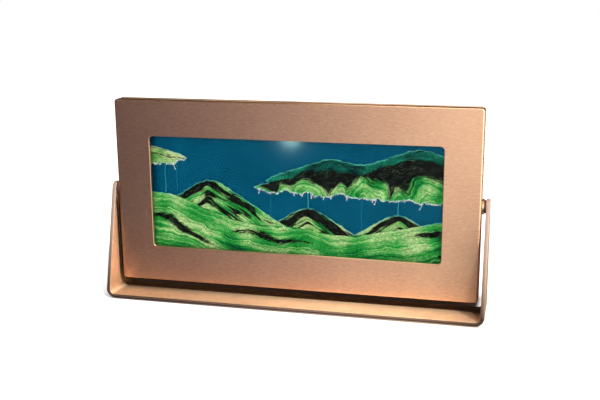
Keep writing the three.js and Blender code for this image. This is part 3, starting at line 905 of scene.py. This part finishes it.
def shelf_layers(x, z, loop):
    """Arches that the sand has slipped away under, in dark sand that hangs between and lies over them."""
    bent_x = x + ARCH_SWAY * swells(x, z, 17, seed=5) + ARCH_CREASE * swells(x, z, 6, seed=15)
    bent_z = z + ARCH_HEAVE * swells(x, z, 15, seed=6)
    spans = []
    for centre, half_width, share in ARCHES:
        bottom = level_at(loop, centre, False)
        height = ARCH_FOOT + share * (level_at(loop, centre, True) - bottom)
        spans.append(np.hypot((bent_x - centre) / half_width, (bent_z - bottom + ARCH_FOOT) / height))
    nearest = np.min(spans, axis=0)
    return nearest * ARCH_LAYERS, ARCH_EDGE * (1 - nearest), swells(x, z, 19, seed=8) + SHELF_PALER


def cap_layers(x, z, loop):
    """Dark layers that follow the cap's top, blackest low down."""
    depth = level_at(loop, x, True) - z
    shade = CAP_BLACK_DEPTH + CAP_SWAY * swells(x, z, 21, seed=9) - depth
    layer = depth * CAP_SQUEEZE + CAP_FOLD * swells(x, z, 26, seed=10)
    return layer, shade, swells(x, z, 14, seed=11)


def ledge_layers(x, z, loop):
    """Layers that sag away from the wall."""
    sag = LEDGE_SAG * (x - cell_low.x) ** 2
    layer = level_at(loop, x, True) - z + sag + LEDGE_FOLD * swells(x, z, 15, seed=12)
    return layer, in_bands(layer, LEDGE_BANDS), swells(x, z, 15, seed=13) + LEDGE_PALER


# The colours of the sand. Scales of what follows the layers are per millimetre, the others per metre.

BLACK_TONES = tones((0.40, 1, 2, 2), (0.52, 7, 9, 9), (0.59, 26, 36, 32), (0.66, 78, 92, 70))
GREEN_TONES = tones(
    (0.33, 4, 84, 50), (0.40, 18, 138, 52), (0.49, 54, 162, 72), (0.57, 124, 190, 110),
    (0.66, 178, 210, 144),
)
PALE_TONES = tones(
    (0.33, 8, 108, 56), (0.41, 48, 152, 66), (0.50, 132, 186, 108), (0.60, 176, 206, 140),
    (0.68, 198, 214, 160),
)
TEAL_TONES = tones((0.34, 0, 34, 36), (0.45, 2, 62, 58), (0.56, 6, 88, 74), (0.66, 22, 122, 92))
RIM_COLOUR = linear(110, 224, 204)
RIM_SHARES = (0.25, 1.0)
RIM_SWELLS = (-0.5, 0.4)
RIM_PATCH = 5.0
MEAN_NOISE = 0.5
DRIFT_SCALE = 70
FLOW_ALONG, FLOW_ACROSS = 95, 1.5
BAND_SCALE, BAND_SHARE = 0.2, 0.7
PALE_SHARE = 0.24
THIN_SCALE = 1.1
THIN_RANGE, THIN_SHADES = (0.35, 0.65), (0.84, 1.1)
GRAIN_SCALES = (2300, 760)
SPECK_SHARE = 0.2
STREAK_FEATHER, DRIFT_FEATHER = 11, 5
VEIN_EDGE = (-0.8, 0.7)
GRAIN_RELIEF = 0.1 * MM


def sand_material(name, tones, wave, speckle):
    """Layered sand, in tones that change across its wavy layers, and streaked black where "vein" is below
    zero. Speckle gives the darkest and lightest grain."""
    material, shader = new_shader(name)
    place = shader.place()
    drift = shader.less(shader.noise(place, DRIFT_SCALE, detail=4), MEAN_NOISE)
    layer = shader.times(drift, wave, shader.attribute("layer"))
    flow = shader.joined(shader.times(shader.split(place)["X"], FLOW_ALONG), shader.times(layer, FLOW_ACROSS))
    streaks = shader.noise(flow, detail=3, roughness=0.6)
    bands = shader.times(shader.lines(layer, BAND_SCALE), BAND_SHARE)
    bands = shader.times(streaks, 1 - BAND_SHARE, bands)
    light = shader.ramp(shader.times(shader.attribute("pale"), PALE_SHARE, bands), tones)
    thin = shader.spread(shader.lines(layer, THIN_SCALE), *THIN_RANGE, *THIN_SHADES)
    light = shader.mix(1, light, thin, "MULTIPLY")
    grain, clump = [
        shader.add("TexVoronoi", {"Vector": place, "Scale": scale}).outputs for scale in GRAIN_SCALES
    ]
    specks = shader.times(clump["Color"], SPECK_SHARE)
    dark = shader.ramp(shader.times(streaks, 1 - SPECK_SHARE, specks), BLACK_TONES)
    vein = shader.times(shader.less(streaks, MEAN_NOISE), STREAK_FEATHER, shader.attribute("vein"))
    vein = shader.times(drift, DRIFT_FEATHER, vein)
    colour = shader.mix(shader.fall(vein, *VEIN_EDGE), light, dark)
    for cells in (grain, clump):
        chance = shader.split(cells["Color"])["X"]
        colour = shader.mix(1, colour, shader.spread(chance, 0, 1, *speckle), "MULTIPLY")
    colour = shader.mix(shader.attribute("rim"), colour, RIM_COLOUR)
    shader.surface(shader.principled(
        Base_Color=colour, Roughness=0.85, Specular_IOR_Level=0.08,
        Normal=shader.bump(grain["Distance"], strength=0.5, distance=GRAIN_RELIEF),
    ))
    return material


green_sand = sand_material("green_sand", GREEN_TONES, wave=9, speckle=(0.66, 1.3))
pale_sand = sand_material("pale_sand", PALE_TONES, wave=9, speckle=(0.7, 1.25))
teal_sand = sand_material("teal_sand", TEAL_TONES, wave=12, speckle=(0.5, 1.6))

# Every body of sand: its layering, material and slot. A pile has its dark bands, and how far out they reach.
SAND = {
    "sand_bed": (bed_layers, green_sand, "green_sand"),
    "sand_pile_left": (pile_layers([(3, 14), (19, 20.5), (26, 32)], 42), green_sand, "black_sand"),
    "sand_pile_middle": (pile_layers([(1.5, 15), (20, 21.5)], 36), pale_sand, "black_sand"),
    "sand_pile_right": (pile_layers([(2.5, 12), (16.5, 18)], 30), pale_sand, "pale_sand"),
    "sand_shelf": (shelf_layers, green_sand, "green_sand"),
    "sand_shelf_cap": (cap_layers, teal_sand, "black_sand"),
    "sand_ledge": (ledge_layers, pale_sand, "pale_sand"),
}


def sand_mesh(node, edge, face):
    """A body of sand: both its faces on a fine grid, worn back from its edge, and the walls between them."""
    points, triangles, border = filled(face)
    count = len(points)
    ring = len(edge)
    half = cell_high.y
    vertices = []
    for depth in (-half, half):
        vertices += [(x, depth, z) for x, z in points]
    for depth in (-half + BEVEL, half - BEVEL):
        vertices += [(x, depth, z) for x, z in edge]
    first = 2 * count
    rows = [
        border, range(first, first + ring), range(first + ring, first + 2 * ring),
        [i + count for i in border],
    ]
    backs = [tuple(i + count for i in reversed(triangle)) for triangle in triangles]
    return outward(new_mesh(node, np.array(vertices) * MM, triangles + backs + between(rows))), points, border


def sand_values(layers, points, border, edge, free):
    """The layering and the pale rim at a body's points: those of both its faces, then of both its edges."""
    edge_rim = free * np.interp(swells(*edge.T, RIM_PATCH, seed=14), RIM_SWELLS, RIM_SHARES)
    rim = np.zeros(len(points))
    rim[border] = edge_rim
    on_faces = (*layers(*points.T, edge), rim)
    on_edges = (*layers(*edge.T, edge), edge_rim)
    return {
        name: np.concatenate([inner, inner, outer, outer])
        for name, inner, outer in zip(("layer", "vein", "pale", "rim"), on_faces, on_edges)
    }


def add_sand():
    """Every body of sand. Gives the pieces, and each one's edge, how free that is, and its normals."""
    outlines = {node: smoothed(front_outline(node)) for node in SAND}
    bodies = []
    edges = {}
    for node, (layers, material, slot) in SAND.items():
        outline = outlines[node]
        free = free_share(outline, np.vstack([loop for other, loop in outlines.items() if other != node]))
        normals = outward_normals(outline)
        edge = outline + normals * (rippled(outline, normals, free) + CLOSING * (1 - free))[:, None]
        edges[node] = (edge, free, normals)
        mesh, points, border = sand_mesh(node, edge, edge - normals * (free * BEVEL)[:, None])
        for name, numbers in sand_values(layers, points, border, edge, free).items():
            attribute = mesh.attributes.new(name, "FLOAT", "POINT")
            attribute.data.foreach_set("value", numbers.astype(np.float32))
        name = node.replace("sand", "layered_sand")
        bodies.append(add_piece(name, mesh, material, "panel", slot, [node], panel_place))
    return bodies, edges


# Foam, falling sand and liquid

FROTH_DEPTH = -2.1
FROTH_RADII = (0.22, 0.62)
FROTH_SIDEWAYS = 0.4
FROTH_SPREAD = 0.9
FROTH_COUNTS = (0, 1, 1, 2, 2, 3)
FROTH_FREE = 0.6
FROTH_SLOPE = -0.3
FLATNESS = 0.4
DROP_RADII = (0.4, 0.85)
THREAD_CHANCE = 0.06
THREAD_ROOT = 0.3
THREAD_LENGTHS = (1.5, 6.0)
THREAD_RADII = (0.42, 0.28, 0.24)
THREAD_LEAN = 0.45
THREAD_MIDDLE = (0.3, 0.5)
TUBE_SIDES = 6
# Where sand trickles down: the body it leaves, the place across and how thick it is
STREAMS = (
    ("sand_shelf", 0.1 * cell_high.x, 0.42), ("sand_shelf", 0.7 * cell_high.x, 0.36),
    ("sand_shelf", -24, 0.07), ("sand_shelf", 71, 0.06),
    ("sand_ledge", -139, 0.24), ("sand_ledge", -126, 0.07),
)
STREAM_OVERLAP = 0.5
STREAM_STEP = 4
STREAM_SWAY, STREAM_WAVE = 0.25, 0.3
STREAM_TAPER = 0.7


class Foam:
    """Gathers small flattened balls and tubes into one mesh."""

    def __init__(self):
        ball = bmesh.new()
        bmesh.ops.create_icosphere(ball, subdivisions=2, radius=1)
        self.ball = np.array([tuple(vertex.co) for vertex in ball.verts])
        self.ball_faces = [tuple(vertex.index for vertex in face.verts) for face in ball.faces]
        ball.free()
        self.vertices = []
        self.faces = []

    def add(self, vertices, faces):
        start = len(self.vertices)
        self.vertices.extend(vertices)
        self.faces.extend(tuple(start + i for i in face) for face in faces)

    def add_ball(self, x, z, radius):
        self.add(self.ball * radius * (1, FLATNESS, 1) + (x, FROTH_DEPTH, z), self.ball_faces)

    def add_tube(self, places, radii):
        """A closed tube that hangs along places, each with its radius."""
        vertices = []
        for (x, z), radius in zip(places, radii):
            for step in range(TUBE_SIDES):
                angle = 2 * math.pi * step / TUBE_SIDES
                depth = FROTH_DEPTH + radius * FLATNESS * math.sin(angle)
                vertices.append((x + radius * math.cos(angle), depth, z))
        self.add(vertices, skin(len(places), TUBE_SIDES, capped=True))

    def mesh(self, name):
        return outward(new_mesh(name, np.array(self.vertices) * MM, self.faces))


def add_thread(froth, dice, x, z):
    """A bent thread of foam that hangs down, with a drop at its end."""
    length = dice.uniform(*THREAD_LENGTHS)
    lean = dice.uniform(-THREAD_LEAN, THREAD_LEAN) * length
    across, down = THREAD_MIDDLE
    middle = (x + lean * across, z - length * down)
    end = (x + lean, z - length)
    froth.add_tube([(x, z + THREAD_ROOT), middle, end], THREAD_RADII)
    froth.add_ball(*end, dice.uniform(*DROP_RADII))


def add_froth(edges):
    """Foam caught under the hanging sand: a line of bubbles, with threads and drops below it."""
    dice = random.Random(4)
    froth = Foam()
    for node in ("sand_shelf", "sand_ledge"):
        for (x, z), share, (_, upright) in zip(*edges[node]):
            if share < FROTH_FREE or upright > FROTH_SLOPE:
                continue
            for _ in range(dice.choice(FROTH_COUNTS)):
                aside = dice.uniform(-FROTH_SIDEWAYS, FROTH_SIDEWAYS)
                above = dice.uniform(-FROTH_SPREAD, FROTH_SPREAD / 2)
                froth.add_ball(x + aside, z + above, dice.uniform(*FROTH_RADII))
            if dice.random() < THREAD_CHANCE:
                add_thread(froth, dice, x, z)
    return add_piece("froth", froth.mesh("froth"), froth_white, "panel", "pale_sand", place=panel_place)


def add_streams(edges):
    """Threads of falling sand, from the hanging sand down to the first surface below."""
    threads = Foam()
    landing = [edge for node, (edge, _, _) in edges.items() if node == "sand_bed" or "pile" in node]
    for above, x, radius in STREAMS:
        top = level_at(edges[above][0], x, False) + STREAM_OVERLAP
        below = [edge for edge in landing if edge[:, 0].min() < x < edge[:, 0].max()]
        bottom = max(level_at(edge, x, True) for edge in below) - STREAM_OVERLAP
        heights = np.linspace(top, bottom, max(3, round((top - bottom) / STREAM_STEP)))
        places = [(x + STREAM_SWAY * math.sin(height * STREAM_WAVE + x), height) for height in heights]
        threads.add_tube(places, np.linspace(radius * STREAM_TAPER, radius, len(heights)))
    mesh = threads.mesh("trickles")
    return add_piece("trickles", mesh, trickle_teal, "panel", "green_sand", place=panel_place)


def add_liquid():
    """The dyed liquid, from wall to wall behind and between the sand."""
    width, depth, height = cell_high * MM
    depth -= SMALL_EDGE / 2
    levels = (
        (SMALL_EDGE, -depth), (0, SMALL_EDGE - depth), (0, depth - SMALL_EDGE), (SMALL_EDGE, depth),
    )
    loops = [rectangle_loop(width - inset, height - inset, SMALL_EDGE, y) for inset, y in levels]
    mesh = lofted("liquid", loops, capped=True)
    return add_piece("blue_liquid", mesh, liquid_blue, "panel", "dyed_liquid", ["liquid"], panel_place)


# Surroundings and floor

WHITE = (1, 1, 1, 1)
SURROUNDINGS = [
    (0.0, (0.028, 0.022, 0.034, 1)), (0.25, (0.044, 0.036, 0.053, 1)), (0.4, (0.11, 0.1, 0.138, 1)),
    (0.5, (0.19, 0.172, 0.218, 1)), (0.65, (0.4, 0.375, 0.385, 1)), (0.73, (1, 0.97, 0.94, 1)),
]
SURROUNDINGS_STRENGTH = 1.72
FALLOFF_SLANT = 0.265
FALLOFF_HALF = 0.19
FALLOFF_WIDENING = 0.223
FALLOFF_ENDS = (-2, 2)
DARK_CORNER_ACROSS = 0.225
DARK_CORNER_AWAY = 0.14
DARK_CORNER_STRETCH = 1.6
DARK_CORNER_REACH = (0.07, 0.275)
FRONT_SKY_HEIGHTS, FRONT_SKY_SHARE = (0.45, 0.9), 0.4
REAR_SKY_HEIGHTS, REAR_SKY_SHARE = (-0.05, 0.04), 0.03
OVERHEAD_HEIGHTS = (0.7, 0.9)
OVERHEAD_COLOUR = (0.31, 0.24, 0.18, 1)
SKY_DISTANCE = 100
AMBIENT = (0.5, 0.5, 0.5, 1)
# The painted shade's soft edges: its left and right one, and where it starts and ends behind the stand
SHADOW_LEFT = (-0.195, -0.185)
SHADOW_RIGHT = (0.185, 0.195)
SHADOW_START = (0.01, 0.035)
SHADOW_END = (0.07, 0.11)
SHADOW_SLANT = 0.48
SHADOW_COLOUR = (0.024, 0.014, 0.01, 1)
FLOOR_COLOUR = (0.82, 0.82, 0.82, 1)
FLOOR_GLOW = 0.61
FLOOR_HALF = 6.0
CONTACT_REACH = 0.02


def falloff(shader, place):
    """How bright the surroundings look in reflections: bright on the viewer's right and dark on the left, in
    front of the panel and, the other way round, behind it. The floor by the front right corner is darker."""
    split = shader.split(place)
    across = shader.times(split["X"], shader.times(shader.math("SIGN", split["Y"]), -1))
    away = shader.math("ABSOLUTE", split["Y"])
    slanted = shader.times(away, FALLOFF_SLANT, across)
    share = shader.math("DIVIDE", slanted, shader.times(away, FALLOFF_WIDENING, FALLOFF_HALF))
    level = shader.ramp(shader.spread(share, *FALLOFF_ENDS, 0, 1), SURROUNDINGS)
    beside = shader.times(shader.less(across, DARK_CORNER_ACROSS), DARK_CORNER_STRETCH)
    from_corner = shader.joined(beside, shader.less(away, DARK_CORNER_AWAY))
    reach = shader.socket("VectorMath", {0: from_corner}, "Value", operation="LENGTH")
    return shader.mix(1, level, shader.rise(reach, *DARK_CORNER_REACH), "MULTIPLY")


def ray_kinds(shader):
    """Whether a ray comes straight or through glass from the camera, and whether it is a reflection."""
    path = shader.add("LightPath").outputs
    return shader.math("MAXIMUM", path["Is Camera Ray"], path["Is Transmission Ray"]), path["Is Glossy Ray"]


def add_world():
    """White behind the object, the surroundings in reflections, and an even grey light besides."""
    world = bpy.data.worlds.new("studio")
    bpy.context.scene.world = world
    world.use_nodes = True
    world.cycles.sampling_method = "NONE"
    shader = Shader(world.node_tree)

    def background(colour, strength=1):
        return shader.socket("Background", {"Color": colour, "Strength": strength})

    def sky(heights, share):
        return shader.spread(height, *heights, SURROUNDINGS_STRENGTH, SURROUNDINGS_STRENGTH * share)

    seen, mirrored = ray_kinds(shader)
    direction = shader.socket("TexCoord", output="Generated")
    split = shader.split(direction)
    height = split["Z"]
    behind = shader.math("GREATER_THAN", split["Y"], 0)
    front = sky(FRONT_SKY_HEIGHTS, FRONT_SKY_SHARE)
    level = shader.times(behind, shader.less(sky(REAR_SKY_HEIGHTS, REAR_SKY_SHARE), front), front)
    overhead = shader.times(shader.less(1, behind), shader.rise(height, *OVERHEAD_HEIGHTS))
    far = shader.socket("VectorMath", {0: direction, "Scale": SKY_DISTANCE}, operation="SCALE")
    around = shader.mix(overhead, falloff(shader, far), OVERHEAD_COLOUR)
    strength = shader.times(overhead, shader.less(SURROUNDINGS_STRENGTH, level), level)
    lit = shader.mixed(mirrored, background(AMBIENT), background(around, strength))
    shader.add("OutputWorld", {"Surface": shader.mixed(seen, lit, background(WHITE))})


def panel_shadow(shader, place):
    """White on the open floor, and a painted shade in the strip of floor that the panel shades behind
    the stand.
    """
    split = shader.split(place)
    across, away = split["X"], split["Y"]
    left = shader.rise(shader.times(away, SHADOW_SLANT, across), *SHADOW_LEFT)
    sideways = shader.times(left, shader.fall(across, *SHADOW_RIGHT))
    lengthways = shader.times(shader.rise(away, *SHADOW_START), shader.fall(away, *SHADOW_END))
    return shader.mix(shader.times(sideways, lengthways), WHITE, SHADOW_COLOUR)


def add_floor():
    """A white floor that keeps the object's shade, with a painted shade behind the stand and a painted
    occlusion shade in its glow near the stand, and shows the surroundings in reflections.
    """
    corners = ((-1, -1), (1, -1), (1, 1), (-1, 1))
    mesh = new_mesh("floor", [(x * FLOOR_HALF, y * FLOOR_HALF, 0) for x, y in corners], [(0, 1, 2, 3)])
    material, shader = new_shader("floor")
    seen, mirrored = ray_kinds(shader)
    place = shader.socket("NewGeometry", output="Position")
    open_share = shader.socket("AmbientOcclusion", {"Distance": CONTACT_REACH}, "AO", samples=16)
    unshaded = panel_shadow(shader, place)
    lit = shader.socket("BsdfDiffuse", {"Color": shader.mix(1, FLOOR_COLOUR, unshaded, "MULTIPLY")})
    # Occlusion darkens the glow near the stand: a painted contact shade
    glow = shader.times(open_share, shader.times(seen, FLOOR_GLOW))
    shine = shader.socket("Emission", {"Color": unshaded, "Strength": glow})
    own = shader.socket("AddShader", {0: lit, 1: shine})
    around = {"Color": falloff(shader, place), "Strength": SURROUNDINGS_STRENGTH}
    shader.surface(shader.mixed(mirrored, own, shader.socket("Emission", around)))
    material.cycles.emission_sampling = "NONE"
    mesh.materials.append(material)
    linked("floor", mesh)


# Dark cards

FLAG_COLOUR = (0.01, 0.01, 0.01, 1)
FLAG_GAP = 2 * MM
FLAG_HEIGHT = 16 * MM
GAP_FLAG_PLACE = 1 * MM
GAP_FLAG_CLEARANCE = 1 * MM
ROOF_FLAG_SHARE = 0.6
LEG_FLAG_GAP = 0.5 * MM
LEG_FLAG_SHARE = 0.6
SLOT_FLAG_CLEARANCE = 0.2 * MM
SLOT_FLAG_FACES = ((0, 1, 2, 3), (7, 6, 5, 4), (0, 4, 5, 1))
CORNER_FLAG_PLACE = -0.11
CORNER_FLAG_ENDS = (0.18, 0.28)
CORNER_FLAG_HEIGHT = 0.078


def add_flag(name, corners, face_share, back_share=0, faces=((0, 1, 2, 3),), shades=False):
    """Dark card that the camera never shows. Its face and its back hold back those shares of what reflections
    would show past it, and of the lamps' light too if it shades."""
    mesh = new_mesh(name, corners, faces)
    material, shader = new_shader(name)
    from_behind = shader.socket("NewGeometry", output="Backfacing")
    black = shader.socket("BsdfDiffuse", {"Color": FLAG_COLOUR})
    held = shader.spread(from_behind, 0, 1, face_share, back_share)
    shader.surface(shader.mixed(held, shader.socket("BsdfTransparent"), black))
    mesh.materials.append(material)
    flag = linked(name, mesh)
    flag.visible_camera = False
    flag.visible_diffuse = shades
    flag.visible_transmission = False
    flag.visible_shadow = shades


def facing_viewer(place, left, right, bottom, top):
    """Corners of an upright card that faces the viewer."""
    return [(x, place, z) for x, z in ((left, bottom), (right, bottom), (right, top), (left, top))]


def add_flags():
    """Cards behind the stand, between its base and the panel, over the base's rear half, by the left leg,
    before the panel's lower right corner, and in the slot beside the left leg."""
    low, high = strip_low, strip_high
    rear = high.y + FLAG_GAP
    left = low.x + STRIP
    bottom = low.z + STRIP
    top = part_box("front_shell")[0].z - GAP_FLAG_CLEARANCE
    add_flag("rear_flag", facing_viewer(rear, low.x, high.x, 0, FLAG_HEIGHT), 1)
    in_gap = facing_viewer(GAP_FLAG_PLACE, left, -left, bottom + GAP_FLAG_CLEARANCE, top)
    add_flag("gap_flag", in_gap, 1, 1)
    over_rear = ((left, GAP_FLAG_PLACE), (left, rear), (-left, rear), (-left, GAP_FLAG_PLACE))
    add_flag("roof_flag", [(x, y, top) for x, y in over_rear], ROOF_FLAG_SHARE)
    by_leg = ((low.y, bottom), (high.y, bottom), (LEG_TIP, pivot.z), (-LEG_TIP, pivot.z))
    add_flag("leg_flag", [(left + LEG_FLAG_GAP, y, z) for y, z in by_leg], LEG_FLAG_SHARE)
    by_corner = facing_viewer(CORNER_FLAG_PLACE, *CORNER_FLAG_ENDS, 0, CORNER_FLAG_HEIGHT)
    add_flag("corner_flag", by_corner, 1, 1)
    shell = panel_box("front_shell")[0]
    near, far = shell.x - SLOT_FLAG_CLEARANCE, left + SLOT_FLAG_CLEARANCE
    across_slot = ((near, shell.z), (far, shell.z), (far, -LEG_TIP), (near, -LEG_TIP))
    front = shell.y + SHELL_FOLD / 2
    slot = [panel_place @ Vector((x, y, z)) for y in (front, -front) for x, z in across_slot]
    add_flag("slot_flag", slot, 1, faces=SLOT_FLAG_FACES, shades=True)


# Lamps and camera

WARM = (1, 0.98, 0.84)
# Far lamps: degrees to the viewer's right, degrees up, degrees across, energy and colour
KEY = (40, 42, 7, 3.5, WARM)
PICTURE_SOFT = (0, 12, 80, 1.4)
REAR_SOFT = (160, 20, 60, 1.0)
# Near lamps: place, aim, energy and colour
SIDE = (Vector((0.33, -0.5, 0.6)), Vector((0.045, -0.02, 0)), 84, WARM)
EDGE = (Vector((0.4, 0.5, 0.1)), Vector((0.19, 0, 0.1)), 0.4)
GLINT = (Vector((-0.151, -0.585, 0.03)), Vector((-0.01, -0.012, 0.17)), 0.44, (0.61, 1, 0.97))
SIDE_ANGLE = math.radians(24)
SIDE_FLATNESS = 0.17
SIDE_SOFTNESS = 0.05
EDGE_SIZE = 0.25
GLINT_SIZE = 0.03
CAMERA_PLACE = (0.22553, -0.89951, 0.27559)
CAMERA_YAW = math.radians(13.68)
CAMERA_PITCH = math.radians(-10.02)
CAMERA_ROLL = math.radians(0.54)
CAMERA_LENS = 55.02


def add_lamp(name, kind, place, aim, energy, colour=WHITE[:3]):
    lamp = bpy.data.lights.new(name, kind)
    lamp.energy = energy
    lamp.color = colour
    lit = linked(name, lamp)
    lit.location = place
    lit.rotation_euler = (place - aim).to_track_quat("Z", "Y").to_euler()
    return lit


def add_far_lamp(name, aside, up, angle, *light):
    """A lamp as far as the sun."""
    aside, up = math.radians(aside), math.radians(up)
    towards = Vector((math.sin(aside) * math.cos(up), -math.cos(aside) * math.cos(up), math.sin(up)))
    lit = add_lamp(name, "SUN", towards, Vector(), *light)
    lit.data.angle = math.radians(angle)
    return lit


def for_pieces(lamp, pieces, state="INCLUDE"):
    """Makes a lamp light only the pieces, or all but them."""
    receivers = bpy.data.collections.new(f"{lamp.name}_receivers")
    for piece in pieces:
        receivers.objects.link(piece)
    lamp.light_linking.receiver_collection = receivers
    for entry in receivers.collection_objects:
        entry.light_linking.link_state = state


def add_key(picture):
    """The main light, and a soft one from the front in its place for the picture."""
    for_pieces(add_far_lamp("key", *KEY), picture, "EXCLUDE")
    for_pieces(add_far_lamp("soft", *PICTURE_SOFT), picture)


def add_side_lamp(strip):
    """A flat beam from the right, along the base alone."""
    place, aim, *_ = SIDE
    side = add_lamp("side", "SPOT", *SIDE)
    side.data.spot_size = SIDE_ANGLE
    side.data.spot_blend = 1
    side.data.shadow_soft_size = SIDE_SOFTNESS
    towards = (place - aim).normalized()
    along = (Vector((1, 0, 0)) - towards * towards.x).normalized()
    turn = Matrix((along, towards.cross(along), towards)).transposed().to_4x4()
    flat = Matrix.Diagonal((1, SIDE_FLATNESS, 1, 1))
    side.matrix_world = Matrix.Translation(place) @ turn @ flat
    for_pieces(side, [strip])


def add_shell_lamps(front, rear):
    """A lamp behind on the right that the front shell's right wall mirrors, and a soft one for the rear."""
    edge = add_lamp("edge", "AREA", *EDGE)
    edge.data.size = EDGE_SIZE
    for_pieces(edge, [front])
    for_pieces(add_far_lamp("rear_soft", *REAR_SOFT), [rear])


def add_glint():
    """A small lamp that only the front pane shows."""
    glint = add_lamp("glint", "AREA", *GLINT)
    glint.data.shape = "DISK"
    glint.data.size = GLINT_SIZE
    for_pieces(glint, [nodes["front_glass"]])


def add_camera():
    lens = bpy.data.cameras.new("camera")
    lens.lens = CAMERA_LENS
    camera = linked("camera", lens)
    turn = (
        Matrix.Rotation(CAMERA_YAW, 4, "Z") @ Matrix.Rotation(QUARTER + CAMERA_PITCH, 4, "X")
        @ Matrix.Rotation(CAMERA_ROLL, 4, "Z")
    )
    camera.matrix_world = Matrix.Translation(CAMERA_PLACE) @ turn
    bpy.context.scene.camera = camera


bpy.context.scene.view_settings.view_transform = "Standard"
add_camera()
add_world()
add_floor()
add_flags()
add_shell_lamps(*add_shells())
add_side_lamp(add_stand())
add_pivots()
dress_inner_nodes()
sand_pieces, sand_edges = add_sand()
add_key([*sand_pieces, add_froth(sand_edges), add_streams(sand_edges), add_liquid(), nodes["cell_spacer"]])
add_glint()
